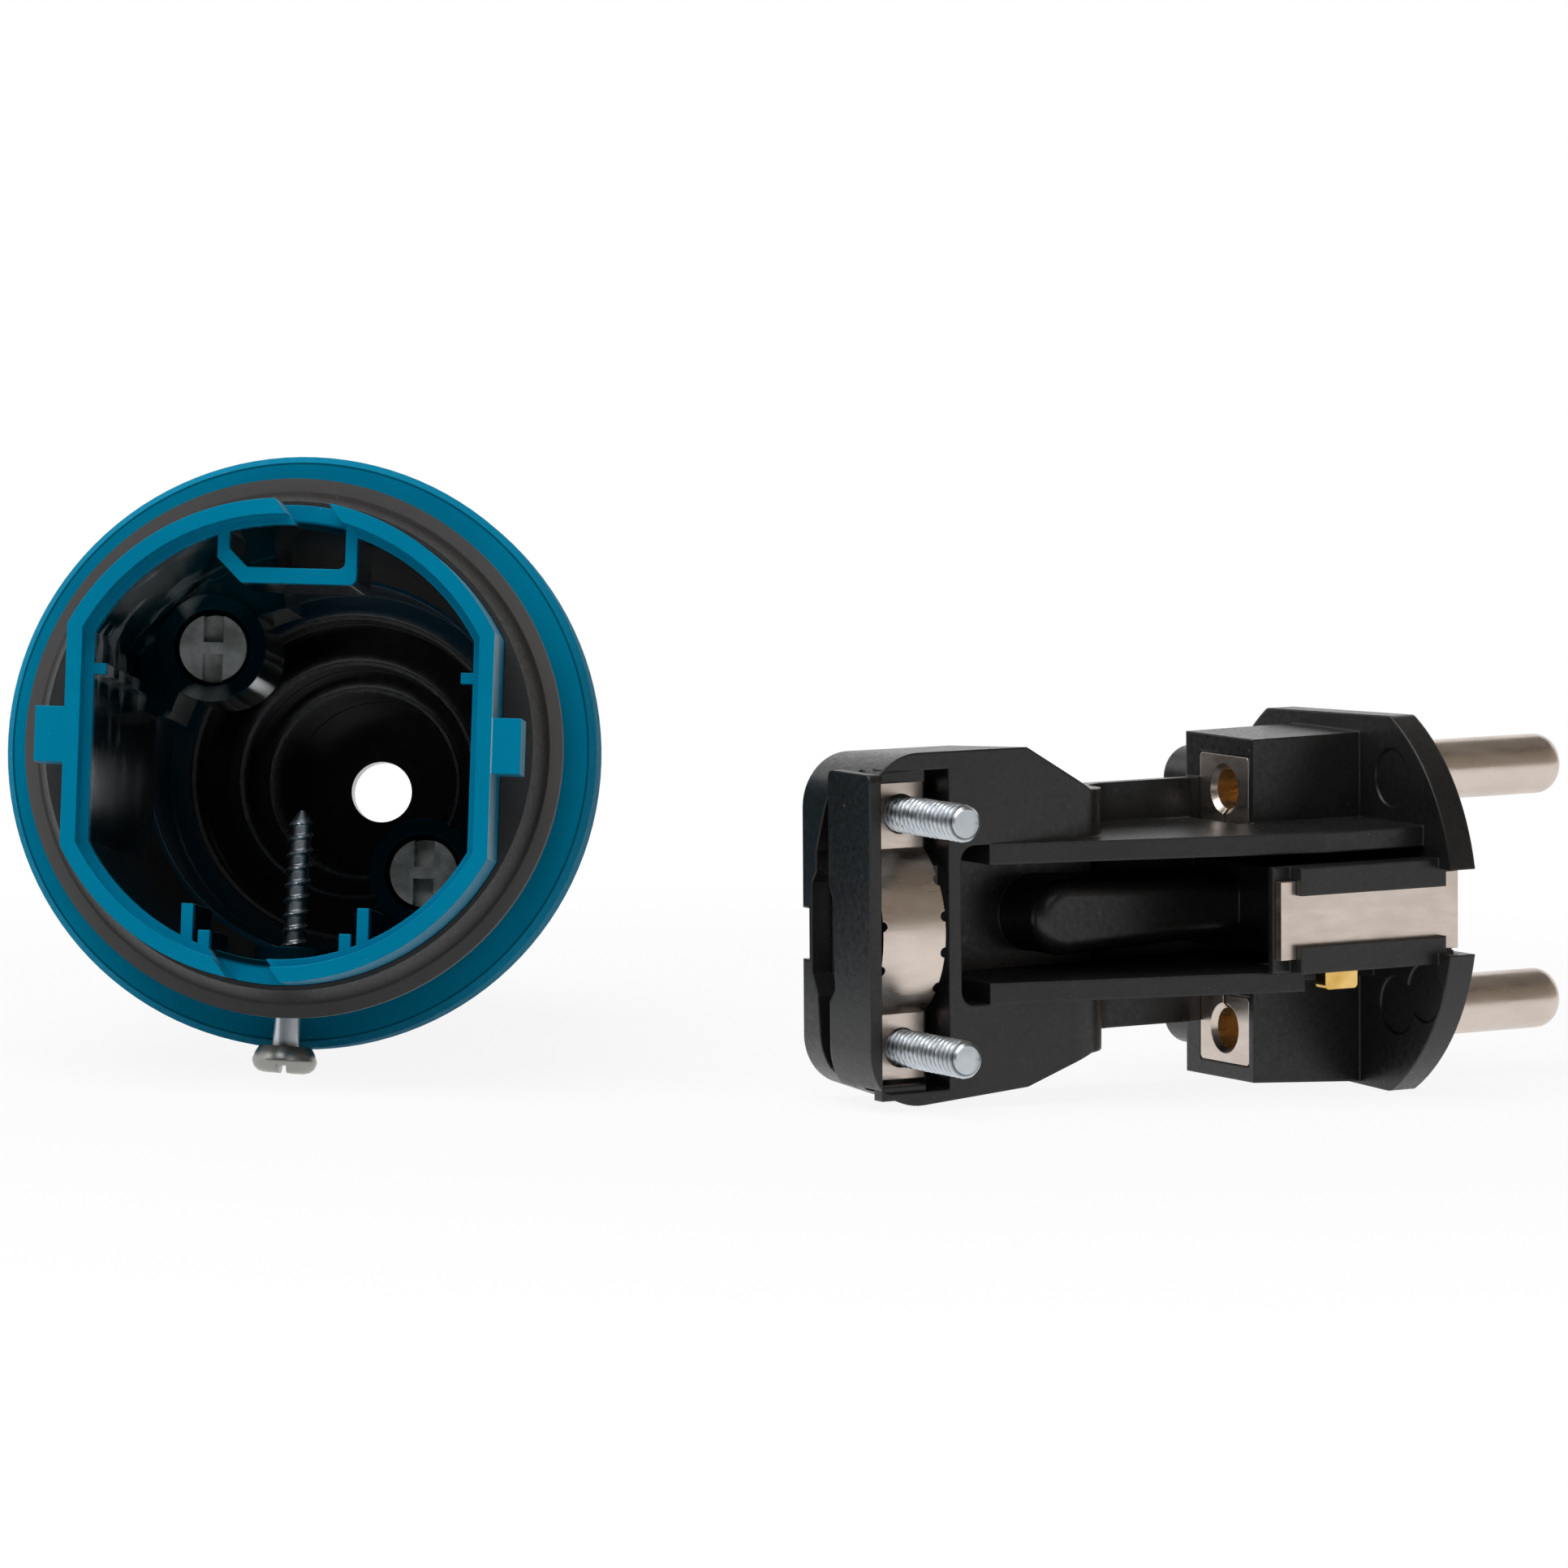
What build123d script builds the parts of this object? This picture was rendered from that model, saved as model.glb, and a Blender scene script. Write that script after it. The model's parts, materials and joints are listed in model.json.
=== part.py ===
from build123d import *
import math
import os

# Driving dimensions, millimetres and degrees

# Fits between pieces, and how far a rib is sunk in its wall or a cut runs past a face
slide_gap = 0.25
seat_gap = 0.05
bury = 0.5
overrun = 1.0

# Collar of the housing, depths measured from its rim
collar_radius = 18.75
collar_flat = 16.65
collar_length = 15.5
rim_wall = 1.2
rebate_depth = 2.4
bore_radius = 16.9
bore_flat = 14.8
front_length = 40.0

# Flange behind the collar
flange_radius = 23.4
flange_bevel_width = 0.5
flange_bevel_depth = 0.9
flange_thickness = 5.5
sleeve_radius = 18.2

# Tabs, notches and ribs of the collar
tab_reach = 18.9
tab_height = 4.3
tab_length = 4.0
notch_width = 3.95
notch_shift = 0.4
notch_slant = 1.4
notch_depth = 6.5
pocket_width = 9.1
pocket_wall = 0.9
pocket_drop = 12.3
pocket_floor = 1.2
pocket_chamfer = 1.9
pocket_round = 0.6
pocket_length = 13.0
floor_rib_spread = 6.85
floor_rib_wall = 0.9
floor_rib_height = 2.7
floor_rib_length = 14.0
stub_spread = 5.5
stub_height = 1.2
side_rib_height = 5.3
side_rib_wall = 0.85
side_rib_reach = 0.95
side_rib_length = 26.0

# Pegs that hold the boot, on a diagonal of the bore
peg_circle = 12.45
peg_angle = 135.0
peg_radius = 2.72
peg_inset = 12.7
peg_depth = front_length - peg_inset
peg_length = 11.0
peg_recess = 0.6
peg_slot_width = 1.6
peg_slot_depth = 1.5
peg_bridge = 0.95
peg_boss_radius = 4.35
peg_gap = 0.4
shoulder_step = 1.3
shoulder_depth = peg_depth + shoulder_step
shoulder_radius = 12.6
shoulder_half_angle = 31.0

# Rubber boot
boot_wall = 3.0
boot_front_radius = 21.8
boot_waist_depth = 36.0
boot_bulge_depth = 56.0
boot_bulge_center = 12.2
boot_bulge_round = 7.6
boot_round_share = 0.86
boot_band = 2.5
bore_steps = ((15.2, -3.0), (13.1, 1.0), (9.6, 6.0), (7.7, 11.0))
boot_bores = [(radius, boot_bulge_depth + past) for radius, past in bore_steps]
boot_nose_radius = 8.6
boot_tail = 22.0
boot_length = boot_bulge_depth + boot_tail
boot_end_wall = 2.5
bore_chamfer = 0.35
cable_hole_radius = 2.58

# Sealing ring
seal_front = 7.6
seal_front_rise = 0.4
seal_depth = 3.0
seal_lip_radius = 21.2
seal_lip_depth = 10.8
seal_lip_width = 1.0
seal_wall = 1.1
seal_base_length = 3.2
seal_base_radius = 20.4

# Self-tapping screw through the collar
tapper_depth = 13.9
tapper_head_radius = 2.55
tapper_head_height = 2.1
tapper_head_round = 0.9
tapper_head_sink = 0.05
tapper_head_inner = flange_radius - tapper_head_sink
tapper_slot_width = 0.83
tapper_slot_depth = 1.0
tapper_shank_radius = 1.05
tapper_length = 20.7
tapper_plain = 5.4
tapper_point = 2.4
tapper_tip_radius = 0.12
tapper_boss_radius = 2.9
tapper_boss_height = 1.3
tapper_lean = 2.2

# Front plate of the insert; lengths along the insert measured back from its face
plate_radius = 17.0
plate_flat = 14.6
plate_draft = 0.55
plate_thickness = 2.3
plate_round = 1.0
pin_spacing = 19.0
pin_radius = 2.4
pin_length = 19.0
pin_round = 1.7
root_radius = 2.2
shank_radius = 1.2
shank_length = 2.0

# Body of the insert: heights above the pin plane are positive toward the open side
body_length = 49.2
near_level = 6.0
far_level = -4.4
bed_level = -2.5
waist_level = -3.4
clamp_half = 13.7
clamp_top_more = 0.3
clamp_top_front = 13.9
clamp_bottom_front = 12.5
clamp_draft = 3.5
clamp_corner = 4.8
clamp_length = 14.6
waist_half = 10.3
waist_inset = 20.6
waist_start = body_length - waist_inset
ramp_inset = 19.0
ramp_length = 9.5
ramp_start = body_length - ramp_inset
ramp_end = ramp_start - ramp_length
rail_spread = 5.4
rail_wall = 1.6
rail_rise = 0.35
rail_inset = 11.2
rail_start = body_length - rail_inset
fence_back = 11.6
fence_level = 12.9
lower_rail_end = 13.2
divider_inset = 17.3
divider_start = body_length - divider_inset
divider_end = 11.2
divider_level = 3.1
divider_half_back = 3.0
divider_half_front = 2.2
divider_round = 1.3

# Clamp end: end wall, strap pocket and cable opening
end_wall = 1.0
pocket_run = 7.5
pocket_back = body_length - pocket_run
pocket_top = 12.6
pocket_bottom = 12.2
pocket_corner = 1.2
pocket_level = 2.4
bridge_wall = 1.1
bridge_level = 4.3
bed_round = 1.2
mouth_far_edge = ((12.2, 0.4), (6.0, -2.2), (4.4, -2.2), (3.4, -3.0), (-3.6, -3.0),
                  (-5.4, -2.0), (-10.8, -1.3))
mouth_near_edge = ((-12.4, 0.6), (-5.4, 0.6), (-4.4, 1.4), (2.6, 1.1), (4.3, 0.1))
mouth_depth = 2.5
lip_low = 0.5
lip_level = 6.7
lip_bottom = -12.9
lip_top = 12.5
lip_round = 0.6
keeper_length = 3.9
keeper_place = 11.7
keeper_width = 1.1
keeper_height = 1.2
keeper_gap = 0.6
keeper_drop = 0.3
keeper_bury = 0.2
far_groove_half = 2.0
far_groove_shift = -0.6
far_groove_depth = 1.0

# Cable strap and its screws
strap_thickness = 0.9
strap_width = 5.6
strap_gap = 0.2
strap_half = 11.5
strap_arch_half = 6.4
strap_arch_rise = 3.3
strap_notch_radius = 0.4
strap_back_notches = (0.8, -2.7)
strap_front_notches = (4.0, 1.3, -1.5, -4.3)
clamp_screw_inset = 4.8
clamp_screw_place = body_length - clamp_screw_inset
clamp_screw_spacing = 18.1
clamp_screw_radius = 1.48
clamp_screw_reach = 9.7
clamp_screw_chamfer = 0.35
clamp_head_radius = 2.75
clamp_head_height = 1.9
clamp_head_cover = 0.3

# Terminal chambers, blocks and screws
chamber_back = 12.4
chamber_low = -5.6
chamber_high = 4.05
terminal_shift = -0.1
terminal_drop = 0.5
chamber_top_back = 13.2
chamber_top_front = 13.3
chamber_bottom_back = 13.95
chamber_bottom_front = 14.5
block_width = 6.9
block_height = 5.4
block_length = 7.6
wire_hole_radius = 1.6
wire_hole_depth = 5.4
wire_hole_sink = 0.4
block_slit = 0.45
block_round = 0.35
boss_radius = 2.5
boss_reach = 5.6
grub_radius = 1.45
grub_place = 8.4
grub_length = 6.4
grub_clear = 0.15
grub_slot_width = 0.6
grub_slot_depth = 0.9

# Earth contact, its channels, clamp block and screw
strip_width = 6.1
strip_thickness = 0.8
strip_level = 14.3
strip_back = 16.6
strip_web_place = 5.4
channel_back = 15.2
shelf_back = 16.8
channel_front = 0.9
channel_half = 4.15
channel_top = 15.0
channel_low = 12.8
channel_lip_gap = 3.9
lip_front = 1.6
plate_notch = 6.7
pillar_half = 3.4
pillar_back = 13.1
earth_block_back = 12.9
earth_block_length = 4.1
earth_block_low = 8.3
earth_block_bottom = -3.6
earth_tongue_back = 11.9
earth_tongue_length = 3.0
earth_tongue_bottom = -5.7
earth_tongue = 1.4
earth_wire_radius = 1.3
earth_wire_depth = 3.2
earth_screw_grip = 3.0
earth_block_top = 1.0
earth_screw_radius = 1.45
earth_screw_offset = -1.3
earth_head_radius = 2.6
earth_head_height = 1.6
earth_head_cover = 0.3
earth_boss_radius = 3.4
earth_boss_reach = 3.4

# Round ejector marks on the back of the front plate, as (height, across)
mark_radius = 2.3
mark_depth = 0.12
mark_spots = ((8.5, 10.0), (9.2, -7.9), (13.0, -6.6))

# Where the halves lie
housing_roll = 0.3
insert_yaw = 34.5
apart_x = 83.3
apart_y = 27.1


# Shared shapes

def flatted_disc(radius, flat):
    return Circle(radius) & Rectangle(2 * flat, 2 * radius)


def along_depth(sketch, start, end):
    """Extrudes a housing cross-section from one depth to another."""
    plane = Plane(origin=(0, start, 0), x_dir=(1, 0, 0), z_dir=(0, 1, 0))
    return extrude(plane * sketch, end - start)


def turned(points):
    """Revolves a closed outline of (radius, depth) points about the housing axis."""
    outline = make_face(Polyline(*[(r, d, 0) for r, d in points], close=True))
    return revolve(outline, Axis.Y)


def housing_box(x0, x1, d0, d1, z0, z1):
    size = Box(x1 - x0, d1 - d0, z1 - z0)
    return Pos((x0 + x1) / 2, (d0 + d1) / 2, (z0 + z1) / 2) * size


def insert_box(back, front, low, high, bottom, top):
    """A block of the insert: distances behind the face, heights to the open side, and across."""
    size = Box(back - front, high - low, top - bottom)
    return Pos(-(back + front) / 2, -(low + high) / 2, (bottom + top) / 2) * size


def insert_rod(radius, back, across, low, high):
    """A round rod of the insert that points to its open side."""
    plane = Plane(origin=(-back, -low, across), z_dir=(0, -1, 0))
    return extrude(plane * Circle(radius), high - low)


# Housing pieces

peg_spots = [
    (peg_circle * math.cos(math.radians(a)), peg_circle * math.sin(math.radians(a)))
    for a in (peg_angle, peg_angle + 180)
]


def collar_shell():
    outer = along_depth(flatted_disc(collar_radius, collar_flat), 0, collar_length)
    flange = turned([
        (0, collar_length),
        (flange_radius - flange_bevel_width, collar_length),
        (flange_radius, collar_length + flange_bevel_depth),
        (flange_radius, collar_length + flange_thickness),
        (0, collar_length + flange_thickness),
    ])
    sleeve = turned([(0, collar_length), (sleeve_radius, collar_length),
                     (sleeve_radius, front_length), (0, front_length)])
    bore = along_depth(flatted_disc(bore_radius, bore_flat), -overrun, front_length + overrun)
    rebate = along_depth(
        flatted_disc(collar_radius - rim_wall, collar_flat - rim_wall), -overrun, rebate_depth)
    return outer + flange + sleeve - bore - rebate


def collar_tabs():
    reach = tab_reach - collar_flat + bury
    tab = Box(reach, tab_length, tab_height)
    spot = tab_reach - reach / 2
    return [Pos(side * spot, tab_length / 2, 0) * tab for side in (-1, 1)]


def collar_notches():
    """Slanted cuts through the rim, one at the top and one half a turn on."""
    low, high = bore_radius - overrun, collar_radius + overrun
    slant = notch_slant * (high - low) / (collar_radius - bore_radius)
    left, right = notch_shift - notch_width / 2, notch_shift + notch_width / 2
    face = make_face(Polyline((left, high), (right, high), (right + slant, low), (left + slant, low),
                              close=True))
    notch = housing_prism(face, -overrun, notch_depth)
    return [notch, Rot(0, 180, 0) * notch]


def top_pocket():
    half = pocket_width / 2 + pocket_wall
    outer = housing_box(-half, half, rebate_depth, pocket_length,
                        pocket_drop, collar_radius - rim_wall)
    inner = housing_box(-pocket_width / 2, pocket_width / 2, 0, pocket_length + overrun,
                        pocket_drop + pocket_floor, collar_radius)
    outer = chamfered_pocket(outer, pocket_chamfer)
    inner = chamfered_pocket(inner, pocket_chamfer - pocket_wall / 2)
    return (outer - inner) & turned_cylinder(bore_radius + bury, 0, front_length)


def chamfered_pocket(block, size):
    """Cuts the lower left corner of the pocket and rounds the lower right one."""
    left, right = block.edges().filter_by(Axis.Y).group_by(Axis.Z)[0].sort_by(Axis.X)
    block = fillet(right, pocket_round)
    left = block.edges().filter_by(Axis.Y).group_by(Axis.Z)[0].sort_by(Axis.X)[0]
    return chamfer(left, size)


def turned_cylinder(radius, start, end):
    return along_depth(Circle(radius), start, end)


def floor_ribs():
    ribs = []
    for side in (-1, 1):
        for spread, height in ((floor_rib_spread, floor_rib_height), (stub_spread, stub_height)):
            foot = -math.sqrt(bore_radius ** 2 - spread ** 2)
            ribs.append(housing_box(
                side * spread - floor_rib_wall / 2, side * spread + floor_rib_wall / 2,
                rebate_depth, floor_rib_length, foot - bury, foot + height))
    return ribs


def side_ribs():
    rib = Box(side_rib_reach + bury, side_rib_length, side_rib_wall)
    spot = bore_flat + (bury - side_rib_reach) / 2
    middle = rebate_depth + side_rib_length / 2
    return [Pos(side * spot, middle, side_rib_height) * rib for side in (-1, 1)]


def peg_seats():
    bosses = []
    for x, z in peg_spots:
        boss = Pos(x, 0, z) * turned_cylinder(peg_boss_radius, peg_depth, front_length)
        bosses.append(boss)
    ring = turned_cylinder(bore_radius + bury, shoulder_depth, front_length)
    ring -= turned_cylinder(shoulder_radius, shoulder_depth - overrun, front_length + overrun)
    reach = 2 * bore_radius
    for start in (peg_angle, peg_angle + 180):
        corners = [(0, 0)]
        for turn in (-shoulder_half_angle, shoulder_half_angle):
            a = math.radians(start + turn)
            corners.append((reach * math.cos(a), reach * math.sin(a)))
        wedge = make_face(Polyline(*corners, close=True))
        bosses.append(ring & housing_prism(wedge, shoulder_depth, front_length))
    return bosses


def housing_prism(face, start, end):
    """Extrudes an outline given as (right, up) seen from the mouth."""
    plane = Plane(origin=(0, start, 0), x_dir=(1, 0, 0), z_dir=(0, -1, 0))
    return extrude(plane * face, -(end - start))


def peg_holes():
    holes = []
    for x, z in peg_spots:
        holes.append(Pos(x, 0, z) * turned_cylinder(
            peg_radius + peg_gap, peg_depth - overrun, peg_depth + peg_length + seat_gap))
    return holes


def tapper_boss():
    plane = Plane(origin=(0, tapper_depth, -bore_radius - bury), z_dir=(0, 0, 1))
    return extrude(plane * Circle(tapper_boss_radius), tapper_boss_height + bury)


def tapper_hole(radius, inner, outer):
    plane = Plane(origin=(0, tapper_depth, -outer), z_dir=(0, 0, 1))
    return extrude(plane * Circle(radius), outer - inner)


def make_housing_front():
    shell = collar_shell()
    shell += collar_tabs()
    shell -= collar_notches()
    shell += top_pocket()
    shell += floor_ribs()
    shell += side_ribs()
    shell += peg_seats()
    shell += tapper_boss()
    shell -= peg_holes()
    shell -= tapper_hole(tapper_shank_radius + slide_gap, bore_radius / 2, 2 * collar_radius)
    return shell


def make_fixing_peg(x, z):
    front = peg_depth + peg_recess
    peg = Pos(x, 0, z) * turned_cylinder(peg_radius, front, peg_depth + peg_length)
    slot_reach = peg_radius - peg_bridge / 2 + overrun
    for side in (-1, 1):
        middle = side * (peg_bridge / 2 + slot_reach / 2)
        slot = Box(peg_slot_width, 2 * peg_slot_depth, slot_reach)
        peg -= Pos(x, front, z + middle) * slot
    return peg


def boot_steps():
    """Outer steps of the cable sleeve: a wall outside each step of the bore."""
    steps = []
    for radius, depth in boot_bores[2:]:
        steps.append((radius + boot_wall, depth + boot_wall))
    return steps


def make_rubber_boot():
    start = collar_length + flange_thickness + seat_gap
    sleeve_room = front_length + seat_gap
    first_step, second_step = boot_steps()
    bulge = boot_bulge_center + boot_bulge_round
    turn = math.asin(boot_round_share)
    shoulder = boot_bulge_depth + boot_bulge_round * math.sin(turn)
    foot = boot_bulge_center + boot_bulge_round * math.cos(turn)
    band_end = start + boot_band
    with BuildPart() as boot:
        with BuildSketch(Plane.XY):
            with BuildLine():
                Polyline((0, start), (boot_front_radius, start), (boot_front_radius, band_end))
                TangentArc((bulge, boot_waist_depth), (boot_front_radius, band_end), tangent=(0, -1))
                Line((bulge, boot_waist_depth), (bulge, boot_bulge_depth))
                ThreePointArc(
                    (bulge, boot_bulge_depth),
                    (boot_bulge_center + boot_bulge_round * math.cos(turn / 2),
                     boot_bulge_depth + boot_bulge_round * math.sin(turn / 2)),
                    (foot, shoulder))
                Polyline(
                    (foot, shoulder), (first_step[0], shoulder),
                    first_step, (second_step[0], first_step[1]),
                    second_step, (boot_nose_radius, second_step[1]),
                    (boot_nose_radius, boot_length), (0, boot_length), (0, start))
            make_face()
        revolve(axis=Axis.Y)
    hollow = turned_cylinder(sleeve_radius + seat_gap, start - overrun, sleeve_room)
    for radius, depth in boot_bores:
        hollow += turned_cylinder(radius, start - overrun, depth)
    hollow += turned_cylinder(boot_bores[-1][0], start - overrun, boot_length - boot_end_wall)
    hollow += turned_cylinder(cable_hole_radius, start - overrun, boot_length + overrun)
    for (_, depth), (radius, _) in zip(boot_bores, boot_bores[1:]):
        mouth = radius + bore_chamfer
        hollow += turned([(0, depth - overrun), (mouth, depth - overrun), (mouth, depth),
                          (radius, depth + bore_chamfer), (0, depth + bore_chamfer)])
    return boot.part - hollow


def make_sealing_ring():
    base = collar_length - seat_gap
    ring = turned([
        (collar_radius - seal_depth, seal_front),
        (collar_radius + seal_front_rise, seal_front),
        (seal_lip_radius - seal_lip_width, seal_lip_depth),
        (seal_lip_radius, seal_lip_depth),
        (seal_lip_radius, seal_lip_depth + seal_wall),
        (seal_base_radius, base - seal_base_length + seal_wall),
        (seal_base_radius, base),
        (collar_radius - seal_depth, base),
    ])
    ring -= along_depth(
        flatted_disc(collar_radius + seat_gap, collar_flat + seat_gap), 0, collar_length)
    return ring - tapper_hole(tapper_shank_radius + slide_gap, bore_radius, 2 * collar_radius)


def make_housing_screw():
    head_bottom = tapper_head_inner + tapper_head_height
    tip = tapper_head_inner + tapper_head_height - tapper_length
    shank = Plane(origin=(0, tapper_depth, -tapper_head_inner), z_dir=(0, 0, 1))
    core = tapper_length - tapper_head_height - tapper_plain - tapper_point
    screw = extrude(shank * Circle(tapper_shank_radius), tapper_plain)
    screw += extrude(shank.offset(tapper_plain) * Circle(tapper_shank_radius), core)
    screw += Pos(0, tapper_depth, -tip - tapper_point / 2) * Cone(
        tapper_shank_radius, tapper_tip_radius, tapper_point)
    head = Pos(0, tapper_depth, -tapper_head_inner - tapper_head_height / 2) * Cylinder(
        tapper_head_radius, tapper_head_height)
    head = fillet(head.edges().group_by(Axis.Z)[0], tapper_head_round)
    slot = Pos(0, tapper_depth, -head_bottom) * Box(
        tapper_slot_width, 3 * tapper_head_radius, 2 * tapper_slot_depth)
    wall = Pos(0, tapper_depth, -collar_radius)
    return wall * Rot(0, tapper_lean, 0) * wall.inverse() * (screw + (head - slot))


# Insert pieces

def side_profile():
    """Outline of the body seen from the side, as (along, height to the open side)."""
    plane = Plane(origin=(0, 0, -2 * clamp_half), x_dir=(1, 0, 0), z_dir=(0, 0, 1))
    with BuildSketch(plane) as profile:
        with BuildLine():
            Polyline((-plate_thickness, -waist_level), (-ramp_end, -waist_level))
            Spline((-ramp_end, -waist_level), (-ramp_start, -near_level),
                   tangents=((-1, 0), (-1, 0)))
            Polyline((-ramp_start, -near_level), (-body_length, -near_level),
                     (-body_length, -far_level), (-ramp_end, -chamber_low),
                     (-plate_thickness, -chamber_low), (-plate_thickness, -waist_level))
        make_face()
    return extrude(profile.sketch, 4 * clamp_half)


def plan_outline():
    """Outline of the body seen from its open side, with draft to the far side."""
    clamp_front = body_length - clamp_length
    plane = Plane(origin=(0, -near_level, 0), x_dir=(1, 0, 0), z_dir=(0, 1, 0))
    upper = [(-plate_thickness / 2, waist_half), (-waist_start, waist_half),
             (-clamp_front, clamp_top_front), (-body_length, clamp_half + clamp_top_more)]
    lower = [(-body_length, -clamp_half), (-clamp_front, -clamp_bottom_front),
             (-waist_start, -waist_half), (-plate_thickness / 2, -waist_half)]
    with BuildSketch(plane) as outline:
        with BuildLine():
            Polyline(*[(a, -b) for a, b in upper + lower], close=True)
        make_face()
        ends = outline.vertices().group_by(Axis.X)[0]
        fillet(ends, clamp_corner)
    return extrude(outline.sketch, near_level - 2 * chamber_low, taper=clamp_draft)


def front_plate():
    plane = Plane(origin=(0, 0, 0), x_dir=(0, 0, 1), z_dir=(-1, 0, 0))
    near, far = plate_flat + plate_draft, plate_flat - plate_draft
    flats = make_face(Polyline((-near, -plate_radius), (near, -plate_radius), (far, plate_radius),
                               (-far, plate_radius), close=True))
    plate = extrude(plane * (Circle(plate_radius) & flats), plate_thickness)
    plate = fillet(plate.edges().filter_by(Axis.X), plate_round)
    notch_floor = strip_level - strip_thickness - seat_gap
    for side in (-1, 1):
        low, high = sorted((side * notch_floor, side * 2 * plate_radius))
        plate -= insert_box(plate_thickness + overrun, -overrun, low, high,
                            -plate_notch / 2, plate_notch / 2)
    return plate


def rails():
    """Two rails that rise along the bed, and a fence that joins the upper one to the channel."""
    rise = (fence_level - near_level) / (rail_start - fence_back)
    lower_level = near_level + rise * (rail_start - lower_rail_end)
    crests = {
        1: [(-fence_back, fence_level), (-plate_thickness, fence_level)],
        -1: [(-lower_rail_end, lower_level), (-lower_rail_end, near_level),
             (-plate_thickness, near_level)],
    }
    pieces = []
    for side, crest in crests.items():
        outline = [(-rail_start, bed_level - overrun), (-rail_start, near_level), *crest,
                   (-plate_thickness, bed_level - overrun)]
        face = make_face(Polyline(*[(a, -b) for a, b in outline], close=True))
        pieces.append(extrude(Pos(0, 0, rail_edges(side)[0]) * face, rail_wall))
    pieces.append(insert_box(fence_back, plate_thickness, near_level, fence_level,
                             pillar_half, rail_edges(1)[1]))
    return pieces


def rail_edges(side):
    middle = rail_rise + side * rail_spread
    return middle - rail_wall / 2, middle + rail_wall / 2


def cable_bed():
    back = pocket_back - bridge_wall
    bottom, top = rail_edges(-1)[1], rail_edges(1)[0]
    bed = insert_box(back, plate_thickness, bed_level, 3 * near_level, bottom, top)
    head = insert_box(back, rail_start, bed_level, 3 * near_level,
                      rail_edges(-1)[0], rail_edges(1)[1])
    corners = head.edges().filter_by(Axis.Y).group_by(Axis.X)[0]
    return [bed, fillet(corners, bed_round)]


def divider():
    plane = Plane(origin=(0, -bed_level + bury, 0), x_dir=(1, 0, 0), z_dir=(0, -1, 0))
    with BuildSketch(plane) as outline:
        with BuildLine():
            nose = -divider_start + divider_half_back
            ThreePointArc((nose, divider_half_back), (-divider_start, 0), (nose, -divider_half_back))
            Polyline((nose, -divider_half_back), (-divider_end, -divider_half_front),
                     (-divider_end, divider_half_front), (nose, divider_half_back))
        make_face()
    rib = extrude(outline.sketch, divider_level - bed_level + bury)
    top = rib.faces().sort_by(Axis.Y)[0]
    return fillet(top.edges().sort_by(Axis.X)[:-1], divider_round)


def strap_pocket():
    front = pocket_back
    back = body_length - end_wall
    seat = insert_box(back, front, pocket_level, 3 * near_level, -pocket_bottom, pocket_top)
    seat = fillet(seat.edges().filter_by(Axis.Y).group_by(Axis.X)[0], pocket_corner)
    bottom, top = rail_edges(-1)[1], rail_edges(1)[0]
    run = insert_box(back, front, bed_level, 3 * near_level, bottom, top)
    passage = insert_box(front + overrun, front - bridge_wall - overrun, bed_level, bridge_level, bottom, top)
    return [seat, run, passage]


def end_lip():
    """The flat lip that closes the clamp end on its open side."""
    lip = insert_box(body_length, body_length - end_wall, lip_low, lip_level, lip_bottom, lip_top)
    lip = fillet(lip.edges().filter_by(Axis.X).group_by(Axis.Z)[-1], lip_round)
    end = insert_box(body_length, 0, lip_low, lip_level, -clamp_half, 2 * clamp_half)
    corner = end.edges().filter_by(Axis.Y).group_by(Axis.X)[0].sort_by(Axis.Z)[0]
    return lip & fillet(corner, clamp_corner)


def end_opening():
    """The cable mouth: a lens through the end wall that opens into the cable's run."""
    outer = body_length + overrun
    face = make_face(Polyline(*mouth_far_edge, *mouth_near_edge, close=True))
    plane = Plane(origin=(-outer, 0, 0), x_dir=(0, 0, 1), z_dir=(1, 0, 0))
    return extrude(plane * face, overrun + mouth_depth)


def keepers():
    """Small ribs that hold the strap's ends in the pocket."""
    pieces = []
    back = body_length - end_wall - keeper_gap
    high = near_level - keeper_drop
    for side, wall in ((-1, pocket_bottom), (1, pocket_top)):
        bottom, top = sorted((side * keeper_place, side * (keeper_place + keeper_width)))
        pieces.append(insert_box(back, back - keeper_length, high - keeper_height, high, bottom, top))
        bottom, top = sorted((side * keeper_place, side * (wall + keeper_bury)))
        pieces.append(insert_box(back, back - keeper_length, high - keeper_height,
                                 high - keeper_height / 2, bottom, top))
    return pieces


def clamp_holes():
    holes = []
    head_top = far_level + clamp_head_cover + clamp_head_height
    for side in (-1, 1):
        across = side * clamp_screw_spacing / 2
        holes.append(insert_rod(clamp_screw_radius + seat_gap, clamp_screw_place, across,
                                2 * far_level, 2 * near_level))
        holes.append(insert_rod(clamp_head_radius + slide_gap, clamp_screw_place, across,
                                2 * far_level, head_top))
    return holes


def terminal_across(side):
    return side * pin_spacing / 2 - terminal_drop


def chamber_shell(side):
    """One chamber's block, with its outer wall drafted along its length."""
    back, front = {1: (chamber_top_back, chamber_top_front),
                   -1: (-chamber_bottom_back, -chamber_bottom_front)}[side]
    inner = rail_rise + side * rail_spread
    plane = Plane(origin=(0, -chamber_high, 0), x_dir=(1, 0, 0), z_dir=(0, 1, 0))
    outline = [(-chamber_back, inner), (-chamber_back, back),
               (-plate_thickness, front), (-plate_thickness, inner)]
    face = make_face(Polyline(*[(a, -b) for a, b in outline], close=True))
    return extrude(plane * face, chamber_high - chamber_low)


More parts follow.
